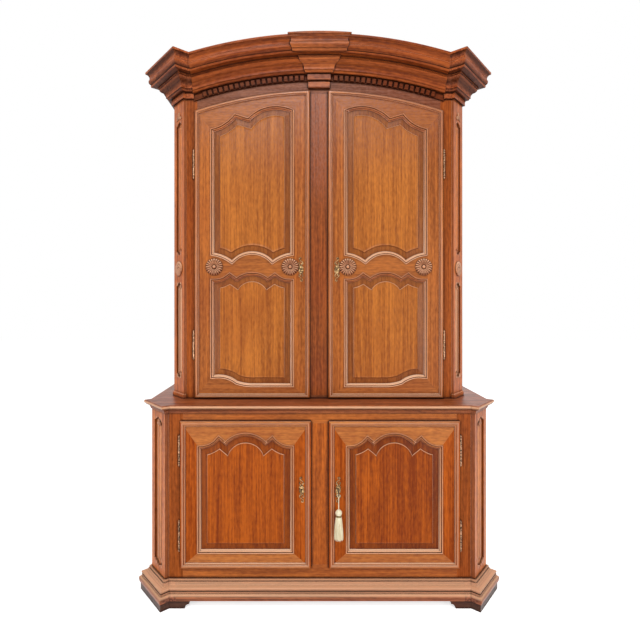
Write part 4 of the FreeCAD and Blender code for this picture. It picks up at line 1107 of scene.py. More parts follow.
@dataclass(frozen=True)
class Rosette:
    """Carved flower of many petals round a button, in millimetres and shares of its radius."""

    radius: float = 40.5
    petals: int = 20
    button: float = 0.19
    button_rise: float = 1.9
    button_groove: float = 0.95
    petal_foot: float = 0.27
    floor: tuple[Flat, ...] = (
        (0.0, 5.2), (0.19, 5.2), (0.22, 3.0), (0.27, 2.9), (0.34, 2.8), (0.80, 5.0), (1.0, 2.3),
    )
    swell: tuple[Flat, ...] = (
        (0.0, 0.0), (0.27, 0.0), (0.42, 1.9), (0.80, 2.6), (0.93, 2.2), (1.0, 0.0),
    )
    sides: tuple[Flat, ...] = ((0.0, 0.9), (0.27, 0.88), (1.0, 0.54))
    gap_groove: float = 0.94

    def across(self, angle: float) -> float:
        """Place across a petal, from zero at its ridge to one in the gap."""
        return abs(math.remainder(angle * self.petals / TURN, 1.0)) * 2

    def height(self, share: float, angle: float) -> float:
        """Find the height over the face of the rail.

        Args:
            share: Place along the radius.
            angle: Angle round the middle.

        Returns:
            The height.
        """
        level = between(share, self.floor)
        if share < self.button:
            return level + self.button_rise * math.sqrt(1 - (share / self.button) ** 2)
        side = self.across(angle) / between(share, self.sides)
        return level + between(share, self.swell) * math.sqrt(max(0.0, 1 - side ** 2))

    def hollow(self, share: float, angle: float) -> bool:
        """Find whether a place lies between petals or round the button.

        Args:
            share: Place along the radius.
            angle: Angle round the middle.

        Returns:
            Whether it lies in a hollow.
        """
        if share < self.petal_foot:
            return share > self.button * self.button_groove
        return self.across(angle) > between(share, self.sides) * self.gap_groove

    def flower(self) -> Flower:
        """The carving."""
        return Flower(self.radius, self.height, self.hollow)


@dataclass(frozen=True)
class Medallion:
    """Round carving with one curled leaf, in millimetres, shares of its radius and of the leaf."""

    radius: float = 36.0
    level: float = 5.9
    dome: float = 1.3
    curl: float = 3.4
    start: float = 0.6
    leaf_half: float = 0.75
    leaf_taper: float = 1.15
    leaf_rise: float = 1.5
    leaf_run: float = 1.08
    groove_depth: float = 0.9
    groove_place: float = 1.25
    groove_steepness: float = 4
    groove_run: float = 1.05
    rim_start: float = 0.9
    rim_width: float = 0.1
    rim_fall: float = 2.4
    hollow_sides: Flat = (1.02, 1.55)
    hollow_shares: Flat = (0.12, 0.88)

    def turn(self, share: float, angle: float) -> float:
        """Find the place across the curled leaf.

        Args:
            share: Place along the radius.
            angle: Angle round the middle.

        Returns:
            The place, from minus one to one on the leaf.
        """
        away = math.remainder(angle - self.start - self.curl * share, TURN)
        return away / (self.leaf_half * (self.leaf_taper - share))

    def height(self, share: float, angle: float) -> float:
        """Find the height over the face of the post.

        Args:
            share: Place along the radius.
            angle: Angle round the middle.

        Returns:
            The height.
        """
        side = self.turn(share, angle)
        leaf_end = math.sin(math.pi * min(share * self.leaf_run, 1.0))
        leaf = self.leaf_rise * math.sqrt(max(0.0, 1 - side ** 2)) * leaf_end
        groove_end = math.sin(math.pi * min(share * self.groove_run, 1.0))
        beside = ((abs(side) - self.groove_place) * self.groove_steepness) ** 2
        groove = self.groove_depth * math.exp(-beside) * groove_end
        fall = self.rim_fall * max(0.0, share - self.rim_start) / self.rim_width
        return self.level + self.dome * (1 - share ** 2) + leaf - groove - fall

    def hollow(self, share: float, angle: float) -> bool:
        """Find whether a place lies beside the leaf.

        Args:
            share: Place along the radius.
            angle: Angle round the middle.

        Returns:
            Whether it lies in a hollow.
        """
        (near, far), (low, high) = self.hollow_sides, self.hollow_shares
        return near < abs(self.turn(share, angle)) < far and low < share < high

    def flower(self) -> Flower:
        """The carving."""
        return Flower(self.radius, self.height, self.hollow)


# The case
# Foot, head and strength of the painted highlight on each roll of the plinth, along its length.
PLINTH_ROLL_HIGHLIGHTS = ((0.1395, 0.153, 0.75), (0.097, 0.124, 0.52), (0.062, 0.089, 0.36))
PLINTH_ALL = (0.0, 1.0)


@dataclass
class CaseWood:
    """Oak of the base and of the upper case.

    Attributes:
        plain: Oak of each node that someone in front sees.
        inside: Nodes of the inside and the back, with their grain and width of boards.
        inside_pale: Tone of their early wood.
        inside_deep: Tone of their late wood.
        inside_roughness: Roughness of that unwaxed wood.
        inside_wear_and_highlight: Strength of its pale edges, partly worn, partly painted
            highlight.
        inside_seam: Strength of the dark line in its joints.
        inside_seed: Place in the noise of the first of them.
    """

    # Some oaks here paint light and shade: highlight bands, lit tops, shaded undersides and
    # returns.
    plain: dict[str, Oak] = field(default_factory=lambda: {
        "base_feet": Oak(
            "feet oak", screen(86, 54, 40), screen(40, 24, 17), Grain.ACROSS, 1),
        "base_plinth_front": Oak(
            "plinth oak", screen(172, 100, 64), screen(96, 48, 28), Grain.ACROSS, 2, contrast=1.7,
            painted_highlight=0.12, upward=0.6, highlight_bands=PLINTH_ROLL_HIGHLIGHTS, highlight_band_place=PLINTH_ALL, under=0.35),
        "base_plinth_returns": Oak(
            "plinth return oak", screen(174, 100, 68), screen(98, 48, 30), Grain.AROUND, 3,
            contrast=1.7, painted_highlight=0.12, upward=0.6, highlight_bands=PLINTH_ROLL_HIGHLIGHTS, highlight_band_place=PLINTH_ALL,
            under=0.35),
        "base_corner_posts": Oak(
            "base post oak", screen(232, 132, 64), screen(158, 78, 34), Grain.CANT, 4,
            highlight_bands=((0.147, 0.850, 0.40),), highlight_band_place=(0.3202, 0.040), reed_pitch=0.019,
            edge=0.2456, grime_and_shade_share=0.65),
        "base_face_rails": Oak(
            "base rail oak", screen(197, 110, 46), screen(138, 70, 26), Grain.ACROSS, 5),
        "base_face_stiles": Oak(
            "base stile oak", screen(176, 90, 34), screen(118, 55, 18), Grain.UP, 6, gloss=0.09),
        "base_centre_post": Oak(
            "base middle post oak", screen(201, 104, 32), screen(131, 59, 14), Grain.UP, 7),
        "base_sides": Oak(
            "base side oak", screen(186, 106, 54), screen(120, 62, 28), Grain.UP, 8, board=0.16),
        "base_top_board": Oak(
            "top board oak", screen(188, 106, 60), screen(124, 64, 34), Grain.ACROSS, 9, upward=0.0,
            under=0.5, highlight_bands=((0.900, 0.9165, 0.70),), highlight_band_place=(0.898, 0.040)),
        "upper_corner_posts": Oak(
            "upper post oak", screen(236, 130, 58), screen(166, 82, 34), Grain.CANT, 10,
            highlight_bands=((1.012, 1.490, 0.90), (1.622, 2.290, 0.30)), highlight_band_place=(0.3742, 0.028),
            reed_pitch=0.0185, edge=0.3187, grime_and_shade_share=0.65),
        "upper_face_rails": Oak(
            "frieze oak", screen(149, 91, 62), screen(98, 52, 30), Grain.ACROSS, 11, gloss=0.1,
            glare_from=2.2, glare_share=0.45),
        "upper_face_stiles": Oak(
            "upper stile oak", screen(176, 90, 34), screen(124, 58, 20), Grain.UP, 12, gloss=0.09),
        "upper_centre_post": Oak(
            "upper middle post oak", screen(166, 86, 36), screen(108, 50, 18), Grain.UP, 13,
            glare_from=1.8, glare_share=0.4),
        "upper_sides": Oak(
            "upper side oak", screen(184, 104, 54), screen(118, 60, 28), Grain.UP, 14, board=0.16),
        "cornice_keystone": Oak(
            "keystone oak", screen(190, 103, 50), screen(114, 54, 24), Grain.ACROSS, 15),
        "cornice_arch_mouldings": Oak(
            "cornice oak", screen(184, 94, 40), screen(110, 48, 17), Grain.ARCH, 16, gloss=0.14,
            under=0.25),
        "cornice_dentil_band": Oak(
            "dentil oak", screen(124, 64, 34), screen(76, 36, 18), Grain.ARCH, 17, gloss=0.05,
            wear_and_highlight_share=0.1, upward=0.1),
        "cornice_corner_blocks": Oak(
            "corner block oak", screen(202, 110, 62), screen(124, 57, 28), Grain.AROUND, 18,
            gloss=0.1, under=0.75),
        "cornice_side_mouldings": Oak(
            "side cornice oak", screen(190, 100, 48), screen(118, 54, 24), Grain.DEEP, 19,
            gloss=0.1, under=0.7),
    })
    inside: tuple[tuple[str, Grain, float], ...] = (
        ("base_floor", Grain.ACROSS, 0.0),
        ("base_shelf", Grain.ACROSS, 0.0),
        ("base_back_boards", Grain.UP, 0.19340),
        ("upper_floor", Grain.ACROSS, 0.0),
        ("upper_shelves", Grain.ACROSS, 0.0),
        ("upper_back_boards", Grain.UP, 0.17578),
        ("upper_roof", Grain.ACROSS, 0.0),
    )
    inside_pale: Colour = screen(190, 142, 92)
    inside_deep: Colour = screen(126, 84, 48)
    inside_roughness: float = 0.6
    inside_wear_and_highlight: float = 0.2
    inside_seam: float = 0.9
    inside_seed: int = 40

    def build(self) -> None:
        """Dress every wooden node of the case."""
        for node, oak in self.plain.items():
            dress(node, oak.material())
        for seed, (node, grain, board) in enumerate(self.inside, self.inside_seed):
            oak = Oak(node + " oak", self.inside_pale, self.inside_deep, grain, seed, board,
                      roughness=self.inside_roughness, wear_and_highlight_share=self.inside_wear_and_highlight, board_shift=0.0,
                      seam=self.inside_seam)
            dress(node, oak.material())


class Side(Enum):
    """Hand of a door, with the sign of its x."""

    LEFT = -1
    RIGHT = 1


@dataclass(frozen=True)
class Cant:
    """Canted face of the corner posts of one tier.

    Attributes:
        corner: Its front corner on the right, in plan.
        middle: Half its width.
    """

    corner: Flat
    middle: float

    def place(self, across: float, out: float, height: float, hand: int) -> Vector:
        """Carry a point from the face's own axes to its place.

        Args:
            across: Distance from the face's middle.
            out: Distance in front of the face.
            height: Height over the ground.
            hand: One on the right, minus one on the left.

        Returns:
            The place of the point.
        """
        cos, sin = CANT_ALONG
        run = self.middle + across
        x = self.corner[0] + cos * run + sin * out
        return Vector((x * hand, self.corner[1] + sin * run - cos * out, height))


BASE_CANT = Cant((0.713, -0.27838), middle=0.075)
UPPER_CANT = Cant((0.660, -0.13859), middle=0.056)


@dataclass
class Scrolls:
    """Sizes and lines of a pierced key plate, in millimetres from its middle."""

    half_thickness: float = 1.0
    bar: float = 1.5
    tip: float = 0.75
    taper: float = 0.6
    upper_bar: tuple[Flat, ...] = (
        (-0.5, 49.5), (1.8, 52.5), (0.4, 56.5), (-4.6, 57.6), (-8.0, 53.0), (-6.4, 46.6),
        (0.0, 41.2), (6.8, 36.4), (9.8, 30.4), (7.6, 24.6), (2.6, 24.4), (1.6, 28.2), (4.4, 29.8),
    )
    counter_bar: tuple[Flat, ...] = (
        (-2.8, 32.6), (-6.4, 35.2), (-9.6, 31.6), (-8.6, 25.4), (-3.6, 21.2), (2.4, 19.4),
        (6.6, 15.0),
    )
    frame_bar: tuple[Flat, ...] = (
        (-3.0, 20.6), (-8.4, 15.0), (-10.6, 7.0), (-8.4, -0.5), (-9.6, -8.0), (-6.6, -15.0),
    )
    shield: tuple[Flat, ...] = (
        (0.0, 17.5), (4.2, 15.5), (7.2, 9.5), (6.2, 2.5), (6.8, -4.5), (7.4, -10.5),
        (4.6, -16.0), (0.0, -18.0), (-4.6, -16.0), (-7.4, -10.5), (-6.8, -4.5), (-6.2, 2.5),
        (-7.2, 9.5), (-4.2, 15.5),
    )
    chamfer_drop: float = 0.3
    chamfer_share: float = 0.25
    hole_radius: float = 3.8
    slot_half: float = 1.8
    slot_foot: float = -12.0
    slot_neck: float = 0.6
    pins: tuple[Flat, ...] = ((-3.4, 53.2), (3.4, -53.2), (5.4, 27.2), (-5.4, -27.2))
    pin_radius: float = 1.6
    pin_reach: float = 2.2
    pin_round: float = 0.9


@dataclass
class KeyPlate:
    """Cast plate of scrolls round a keyhole.

    Attributes:
        door: Body of the door that carries it.
        side: Hand of that door.
        middle: Place of the keyhole, on the face of the door.
        lines: Its sizes and lines.
        steps: Parts of each stretch of a line.
        hole_sides: Points round the keyhole.
        slot_corners: Those of them that lie on its slot.
        dome_rows: Rows of a pin's head.
        dome_sides: Sides of a pin's head.
    """

    door: str
    side: Side
    middle: Vector
    lines: Scrolls = field(default_factory=Scrolls)
    steps: int = 7
    hole_sides: int = 28
    slot_corners: int = 4
    dome_rows: int = 5
    dome_sides: int = 12

    def bar(self, shape: Shape, points: Sequence[Flat], spin: int) -> None:
        """Add one scroll, thick in its middle and thin at its tips.

        Args:
            shape: Shape that takes it.
            points: Its line.
            spin: One as drawn, minus one for half a turn about the middle.
        """
        size = self.lines
        line = [Vector((u * spin, 0.0, v * spin)) for u, v in smooth_line(points, self.steps)]
        swell = size.bar - size.tip
        shape.tube(line, lambda s: size.tip + swell * math.sin(math.pi * s) ** size.taper)

    def keyhole(self) -> list[Flat]:
        """Draw the keyhole.

        Returns:
            Its outline: the round hole and the slot below it.
        """
        size = self.lines
        edge = math.asin(size.slot_half / size.hole_radius)
        low = -math.pi / 2
        parts = self.hole_sides - self.slot_corners
        angles = [low + edge + (TURN - 2 * edge) * k / (parts - 1) for k in range(parts)]
        arc = [(size.hole_radius * math.cos(a), size.hole_radius * math.sin(a)) for a in angles]
        neck = size.slot_foot * size.slot_neck
        return arc + [(-size.slot_half, neck), (-size.slot_half, size.slot_foot),
                      (size.slot_half, size.slot_foot), (size.slot_half, neck)]

    def shield(self, shape: Shape) -> None:
        """Add the pierced shield: a ring of quads between its edge and the keyhole.

        Args:
            shape: Shape that takes it.
        """
        hole = self.keyhole()
        size = self.lines
        edge = smooth_line(size.shield + size.shield[:1], self.steps)
        half = size.half_thickness
        ways = [(math.atan2(v, u), (u, v)) for u, v in edge]
        outline = []
        for u, v in hole:
            way = math.atan2(v, u)
            outline.append(min(ways, key=lambda p: abs(math.remainder(p[0] - way, TURN)))[1])
        rows = ((outline, 0.0, half), (outline, 0.0, -half * size.chamfer_drop),
                (outline, size.chamfer_share, -half), (hole, 0.0, -half), (hole, 0.0, half))
        rings = [[Vector((u + (inner[0] - u) * share, depth, v + (inner[1] - v) * share))
                  for (u, v), inner in zip(row, hole)] for row, share, depth in rows]
        shape.skin(rings, closed=True)

    def pin(self, shape: Shape, place: Flat) -> None:
        """Add the domed head of one pin.

        Args:
            shape: Shape that takes it.
            place: Its middle.
        """
        size = self.lines
        depths = [size.half_thickness * (1 - size.pin_reach * k / self.dome_rows)
                  for k in range(self.dome_rows + 1)]
        line = [Vector((place[0], depth, place[1])) for depth in depths]
        shape.tube(line, lambda s: size.pin_radius * math.cos(s * math.pi / 2 * size.pin_round),
                   self.dome_sides)

    def build(self, finish: bpy.types.Material) -> None:
        """Make the plate in place of the plain one.

        Args:
            finish: Its metal.
        """
        shape = Shape()
        for spin in (1, -1):
            for points in (self.lines.upper_bar, self.lines.counter_bar, self.lines.frame_bar):
                self.bar(shape, points, spin)
        self.shield(shape)
        for place in self.lines.pins:
            self.pin(shape, place)
        half = self.lines.half_thickness
        squeeze = half / self.lines.bar
        hand = -self.side.value

        def on_door(point: Vector) -> Vector:
            """Carry a point from the plate's own millimetres to the door."""
            y = max(-half, min(half, point.y * squeeze))
            return self.middle + Vector((point.x * hand, y - half, point.z)) / MILLIMETRES

        shape.moved(on_door)
        plate = shape.piece(self.door + "_key_plate", self.door, "aged_brass", finish)
        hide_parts(self.door + "_escutcheon")


@dataclass
class Door:
    """One door: its joinery, its panels and its ironwork.

    Attributes:
        tier: Which case it closes, lower or upper.
        side: Its hand.
        stiles: Oak of the stiles.
        rails: Oak of the rails.
        panels: Oak of the panels.
        keyhole: Place of the keyhole on the face of the right door.
        outline: Corners of the right door, anticlockwise to someone in front.
        border: Width of its border, in millimetres.
        border_rise: How far the border stands proud of the face.
        rosettes: Places of its rosettes, on the right door.
    """

    tier: str
    side: Side
    stiles: Oak
    rails: Oak
    panels: Oak
    keyhole: Vector
    outline: Sequence[Flat]
    border: float
    border_rise: float = 0.0035
    rosettes: Sequence[Flat] = ()

    def trim(self, door: str, carved: "Carved") -> None:
        """Add the beads round the door and its panels, and its rosettes.

        Args:
            door: Name of the door's body.
            carved: Finishes of the beads and carvings.
        """
        upright, level, panel = (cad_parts[f"{door}_{part}"].data.materials[0]
                                 for part in ("stiles", "rails", "panels"))
        beads = (carved.upright, carved.level, carved.dark, upright, level)
        rims = (panel, panel, carved.dark, carved.rim, carved.rim)
        edges = (carved.border, carved.border_level, carved.dark, upright, level)
        panels = door + "_panels"
        kinds = (("sticking", 1, sticking_section(), "oak_moulding", beads),
                 ("field_rim", 0, field_section(), "oak_panel", rims))
        for kind, row, section, slot, finishes in kinds:
            shape = Shape()
            for line in panel_lines(panels, row):
                section.run(shape, line, flat_faces(panels)[1][row])
            shape.piece(f"{door}_{kind}", door, slot, *finishes)
        outline = [(x * self.side.value, z) for x, z in self.outline]
        if self.side is Side.LEFT:
            outline.reverse()
        shape = Shape()
        border_section(self.border).run(shape, outline, self.keyhole.y - self.border_rise)
        shape.piece(door + "_border_beads", door, "oak_moulding", *edges)
        if self.rosettes:
            shape = Shape()
            for x, z in self.rosettes:
                Rosette().flower().build(shape, lambda across, up, out, x=x, z=z: Vector(
                    (x * self.side.value + across, self.keyhole.y - out, z + up)))
            shape.piece(door + "_rosettes", door, "oak_moulding", carved.petal, carved.dark)

    def build(self, ironwork: "Ironwork", carved: "Carved") -> None:
        """Dress the nodes of the door and add its trim and key plate.

        Args:
            ironwork: Finishes of the metal.
            carved: Finishes of the beads and carvings.
        """
        door = f"{self.tier}_{self.side.name.lower()}_door"
        panels = replace(self.panels, sunk=flat_faces(door + "_panels")[1][0])
        for node, oak in (("stiles", self.stiles), ("rails", self.rails), ("panels", panels)):
            dress(f"{door}_{node}", oak.material())
        self.trim(door, carved)
        dress(door + "_hinge_halves", ironwork.hinge)
        dress(door + "_lock_case", ironwork.iron)
        dress(door + "_bolt", ironwork.steel)
        middle = Vector((self.keyhole.x * self.side.value, self.keyhole.y, self.keyhole.z))
        KeyPlate(door, self.side, middle).build(ironwork.plate)


@dataclass
class Carved:
    """Finishes of the beads and carvings."""

    # The beads, rims and petals carry a painted highlight, strongest where they face up.
    upright: bpy.types.Material = field(default_factory=lambda: Oak(
        "upright bead oak", screen(206, 122, 62), screen(150, 78, 34), Grain.UP, 31, painted_highlight=1.3,
        grime_and_shade_share=0.6, gloss=0.5, roughness=0.26).material())
    level: bpy.types.Material = field(default_factory=lambda: Oak(
        "level bead oak", screen(200, 112, 52), screen(142, 70, 28), Grain.ACROSS, 32, painted_highlight=1.0,
        grime_and_shade_share=0.7, upward=0.8, gloss=0.5, roughness=0.26).material())
    rim: bpy.types.Material = field(default_factory=lambda: Oak(
        "rim oak", screen(176, 90, 36), screen(120, 54, 18), Grain.UP, 37, wear_and_highlight_share=0.1, painted_highlight=1.3,
        grime_and_shade_share=0.6).material())
    border: bpy.types.Material = field(default_factory=lambda: Oak(
        "border bead oak", screen(196, 110, 50), screen(142, 70, 28), Grain.UP, 35, painted_highlight=0.6,
        grime_and_shade_share=0.8, gloss=0.5, roughness=0.26).material())
    border_level: bpy.types.Material = field(default_factory=lambda: Oak(
        "level border oak", screen(190, 106, 44), screen(136, 68, 24), Grain.ACROSS, 36, painted_highlight=0.75,
        grime_and_shade_share=0.7, gloss=0.5, roughness=0.26).material())
    # Painted shade in quirks and hollows, with painted light where it faces up.
    dark: bpy.types.Material = field(default_factory=lambda: Oak(
        "painted shade oak", screen(84, 36, 12), screen(44, 18, 6), Grain.UP, 33, gloss=0.08,
        upward=0.75).material())
    petal: bpy.types.Material = field(default_factory=lambda: Oak(
        "petal oak", screen(212, 138, 94), screen(152, 84, 52), Grain.ACROSS, 34, painted_highlight=0.9,
        grime_and_shade_share=0.5).material())
    leaf: bpy.types.Material = field(default_factory=lambda: Oak(
        "carved oak", screen(224, 160, 118), screen(150, 84, 52), Grain.CANT, 30).material())


@dataclass
class Medallions:
    """The round carvings of the two upper posts.

    Attributes:
        cant: Face of the post.
        height: Height of their middle.
    """

    cant: Cant = UPPER_CANT
    height: float = 1.5561

    def build(self, carved: Carved) -> None:
        """Make both carvings.

        Args:
            carved: Finishes of the carvings.
        """
        for side in Side:
            shape = Shape()
            name, hand = "medallion_" + side.name.lower(), side.value
            Medallion().flower().build(shape, lambda across, up, out, hand=hand: self.cant.place(
                across, out, self.height + up, hand))
            shape.piece(name, "case", "oak_moulding", carved.petal, carved.dark)


@dataclass
class Ironwork:
    """Finishes of the hinges, key plates, locks and key."""

    hinge: bpy.types.Material = field(default_factory=lambda: Metal(
        "hinge metal", screen(196, 152, 118), screen(34, 20, 14), 0.30).material())
    plate: bpy.types.Material = field(default_factory=lambda: Metal(
        "key plate brass", screen(216, 176, 124), screen(32, 20, 12), 0.32).material())
    iron: bpy.types.Material = field(default_factory=lambda: Metal(
        "lock iron", screen(92, 84, 76), screen(44, 34, 28), 0.5).material())
    steel: bpy.types.Material = field(default_factory=lambda: Metal(
        "bolt steel", screen(150, 144, 136), screen(84, 74, 64), 0.4).material())
    key: bpy.types.Material = field(default_factory=lambda: Metal(
        "key iron", screen(120, 104, 84), screen(48, 38, 28), 0.38).material())

    def build(self) -> None:
        """Dress the fixed ironwork and the key."""
        dress("base_hinge_pins", self.hinge)
        dress("upper_hinge_pins", self.hinge)
        dress("key", self.key)


@dataclass
class Leaves:
    """Small carved leaves at the heads of the post pockets.

    The fields from rows on are shared by both pairs: how many rows and columns a leaf has, and
    shares of its length and of the way along and across it.

    Attributes:
        name: Name of the pair of pieces.
        cant: Face of the post.
        height: Height of the foot of the leaves.
        length: Length of the middle leaf.
        sunk: How far the carving lies behind the face of the post.
    """

    name: str
    cant: Cant
    height: float
    length: float
    sunk: float

    rows: int = 12
    columns: int = 9
    spread: tuple[float, ...] = (-0.95, 0.0, 0.95)
    side_share: float = 0.8
    bend: float = 0.7
    width_share: float = 0.36
    width_run: Flat = (0.93, 0.05)
    width_power: float = 0.8
    dome_share: float = 0.16
    dome_run: Flat = (0.8, 0.15)
    back_share: float = 0.05
    vein_share: float = 0.35
    vein_steepness: float = 5

    def leaf(self, shape: Shape, lean: float, length: float) -> None:
        """Add one domed leaf with a sunk vein.

        Args:
            shape: Shape that takes it.
            lean: Angle from upright.
            length: Its length.
        """
        rings = []
        for i in range(self.rows + 1):
            s = i / self.rows
            swell = math.sin(math.pi * min(s * self.width_run[0] + self.width_run[1], 1.0))
            half = length * self.width_share * swell ** self.width_power
            bend = lean * (1 + self.bend * s)
            spine = Vector((math.sin(bend) * s * length, math.cos(bend) * s * length))
            across = Vector((math.cos(bend), -math.sin(bend)))
            crown = math.sin(math.pi * (s * self.dome_run[0] + self.dome_run[1]))
            top, bottom = [], []
            for k in range(self.columns):
                t = 2 * k / (self.columns - 1) - 1
                place = spine + across * (half * t)
                rise = length * self.dome_share * math.sqrt(max(1 - t * t, 0)) * crown
                rise *= 1 - self.vein_share * math.exp(-(t * self.vein_steepness) ** 2)
                top.append(Vector((place.x, rise, place.y)))
                bottom.append(Vector((place.x, -length * self.back_share, place.y)))
            rings.append(top + bottom[::-1])
        shape.skin(rings)

    def build(self, finish: bpy.types.Material) -> None:
        """Make the leaves of both posts.

        Args:
            finish: Their oak.
        """
        for side in Side:
            shape = Shape()
            for lean in self.spread:
                self.leaf(shape, lean, self.length * (self.side_share if lean else 1.0))
            shape.moved(lambda point, hand=side.value: self.cant.place(
                point.x, point.y - self.sunk, self.height + point.z, hand))
            shape.piece(f"{self.name}_{side.name.lower()}", "case", "oak_frame", finish)


@dataclass
class Tassel:
    """Silk tassel that hangs from the bow of the key by a short cord.

    Heights run down from the loop on the bow. All sizes are in metres, and what ends in share is a
    share of another size.
    """

    x: float = 0.084
    y: float = -0.30881

    loop_height: float = 0.5125
    loop_radius: float = 0.00555
    loop_parts: int = 60
    loop_turns: int = 3

    cord_top: float = 0.50495
    cord_foot: float = 0.45095
    cord_radius: float = 0.002
    cord_stops: int = 5
    cord_order: int = 3
    ply_share: float = 0.5
    ply_overlap: float = 1.05
    ply_sides: int = 8
    twist_length: float = 0.011

    head_foot: float = 0.42595
    head_bulge: float = 0.24
    head_rows: int = 34
    head_sides: int = 112
    head_least: float = 0.0004
    net_lines: int = 14
    net_turn: float = 9
    net_share: float = 0.055
    net_run: float = 1.05
    net_fade: float = 0.4

    neck_foot: float = 0.41695
    neck_radius: float = 0.0125
    neck_rounds: int = 5
    neck_parts: int = 56
    thread_sides: int = 8
    thread_share: float = 0.62
    thread_sunk: float = 0.2

    skirt_foot: float = 0.31295
    skirt_radius: float = 0.021
    skirt_start: float = 0.002
    skirt_parts: int = 9
    skirt_swell: float = 0.8
    layers: tuple[tuple[int, float], ...] = ((66, 1.0), (52, 0.82), (36, 0.62))
    layer_step: float = 0.006
    strand_radius: float = 0.00105
    strand_sides: int = 6
    strand_stray: float = 0.25
    strand_cut: float = 0.009
    strand_slack: float = 0.0012
    strand_wave: float = 0.0009
    wave_pitch: float = 7
    wave_least: float = 0.004
    tip_start: float = 0.97
    tip_share: float = 0.75
    seed: int = 7

    def at(self, radius: float, angle: float, z: float) -> Vector:
        """Point round the tassel's middle line."""
        return Vector((self.x + radius * math.cos(angle), self.y + radius * math.sin(angle), z))

    def ply_lines(self, line: Sequence[Vector], turns: float, closed: bool) -> list[list[Vector]]:
        """Two plies that wind round a line.

        Args:
            line: Points of the middle line.
            turns: Turns of the twist over the whole line.
            closed: Whether the line ends where it starts.

        Returns:
            The lines of the two plies.
        """
        reach = self.cord_radius * (1 - self.ply_share)
        last = len(line) - 1
        lines = []
        for phase in (0.0, math.pi):
            ply = []
            for i, point in enumerate(line):
                if closed:
                    ahead = (line[(i + 1) % len(line)] - line[i - 1]).normalized()
                    first = Vector((0, 1, 0))
                else:
                    ahead = (line[min(i + 1, last)] - line[max(i - 1, 0)]).normalized()
                    first = Vector((1, 0, 0))
                second = ahead.cross(first)
                angle = phase + TURN * turns * i / (len(line) if closed else last)
                ply.append(point + (first * math.cos(angle) + second * math.sin(angle)) * reach)
            lines.append(ply)
        return lines

    def loop(self, finish: bpy.types.Material) -> bpy.types.Object:
        """Make the twisted ring on the lowest bar of the bow.

        Args:
            finish: Its silk.

        Returns:
            The new piece.
        """
        count = self.loop_parts
        angles = [TURN * k / count for k in range(count)]
        ring = [Vector((self.x + self.loop_radius * math.sin(angle), self.y,
                        self.loop_height - self.loop_radius * math.cos(angle))) for angle in angles]
        radius = self.cord_radius * self.ply_share * self.ply_overlap
        shape = Shape()
        for ply in self.ply_lines(ring, self.loop_turns, closed=True):
            rings = []
            for i, point in enumerate(ply):
                ahead = (ply[(i + 1) % count] - ply[i - 1]).normalized()
                first = Vector((0, 1, 0))
                first = (first - ahead * first.dot(ahead)).normalized()
                second = ahead.cross(first)
                rings.append([point + (first * math.cos(a) + second * math.sin(a)) * radius
                              for a in (TURN * k / self.ply_sides for k in range(self.ply_sides))])
            shape.skin(rings, closed=True)
        return shape.piece("tassel_loop", "tassel", "silk", finish)

    def route(self) -> list[Vector]:
        """Draw the cord's line as a smooth spline.

        Returns:
            Close points of the line, read from the spline.
        """
        curve = bpy.data.curves.new("tassel_route", "CURVE")
        curve.dimensions = "3D"
        spline = curve.splines.new("NURBS")
        last = self.cord_stops - 1
        spline.points.add(last)
        for k in range(self.cord_stops):
            z = self.cord_top + (self.cord_foot - self.cord_top) * k / last
            spline.points[k].co = (self.x, self.y, z, 1.0)
        spline.order_u = self.cord_order
        spline.use_endpoint_u = True
        holder = bpy.data.objects.new("tassel_route", curve)
        mesh = bpy.data.meshes.new_from_object(holder)
        line = [v.co.copy() for v in mesh.vertices]
        bpy.data.objects.remove(holder)
        bpy.data.curves.remove(curve)
        bpy.data.meshes.remove(mesh)
        return line

    def cord(self, finish: bpy.types.Material) -> tuple[bpy.types.Object, list[Vector]]:
        """Make the twisted cord from the loop to the head.

        Args:
            finish: Its silk.

        Returns:
            The new piece, and the line that it follows.
        """
        line = self.route()
        length = self.cord_top - self.cord_foot
        shape = Shape()
        for ply in self.ply_lines(line, length / self.twist_length, closed=False):
            shape.tube(ply, lambda s: self.cord_radius * self.ply_share * self.ply_overlap)
        return shape.piece("tassel_twisted_cord", "tassel", "silk", finish), line

    def head(self, finish: bpy.types.Material) -> bpy.types.Object:
        """Make the round head under a net of fine threads.

        Args:
            finish: Its silk.

        Returns:
            The new piece.
        """
        top = Vector((self.cord_radius, self.cord_foot))
        chord = Vector((self.neck_radius, self.head_foot)) - top
        out = Vector((-chord.y, chord.x)).normalized()
        swell = self.head_bulge * chord.length
        rings = []
        for i in range(self.head_rows + 1):
            s = i / self.head_rows
            place = top + chord * s + out * (swell * 4 * s * (1 - s))
            fade = math.sin(math.pi * min(s * self.net_run, 1.0)) ** self.net_fade
            ring = []
            for k in range(self.head_sides):
                angle = TURN * k / self.head_sides
                net = max(math.cos(self.net_lines * angle + s * self.net_turn),
                          math.cos(self.net_lines * angle - s * self.net_turn))
                proud = 1 + self.net_share * fade * max(net, 0) ** 2
                ring.append(self.at(max(place.x, self.head_least) * proud, angle, place.y))
            rings.append(ring)
        shape = Shape()
        shape.skin(rings)
        head = shape.piece("tassel_head", "tassel", "silk", finish)
        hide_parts("tassel")
        return head

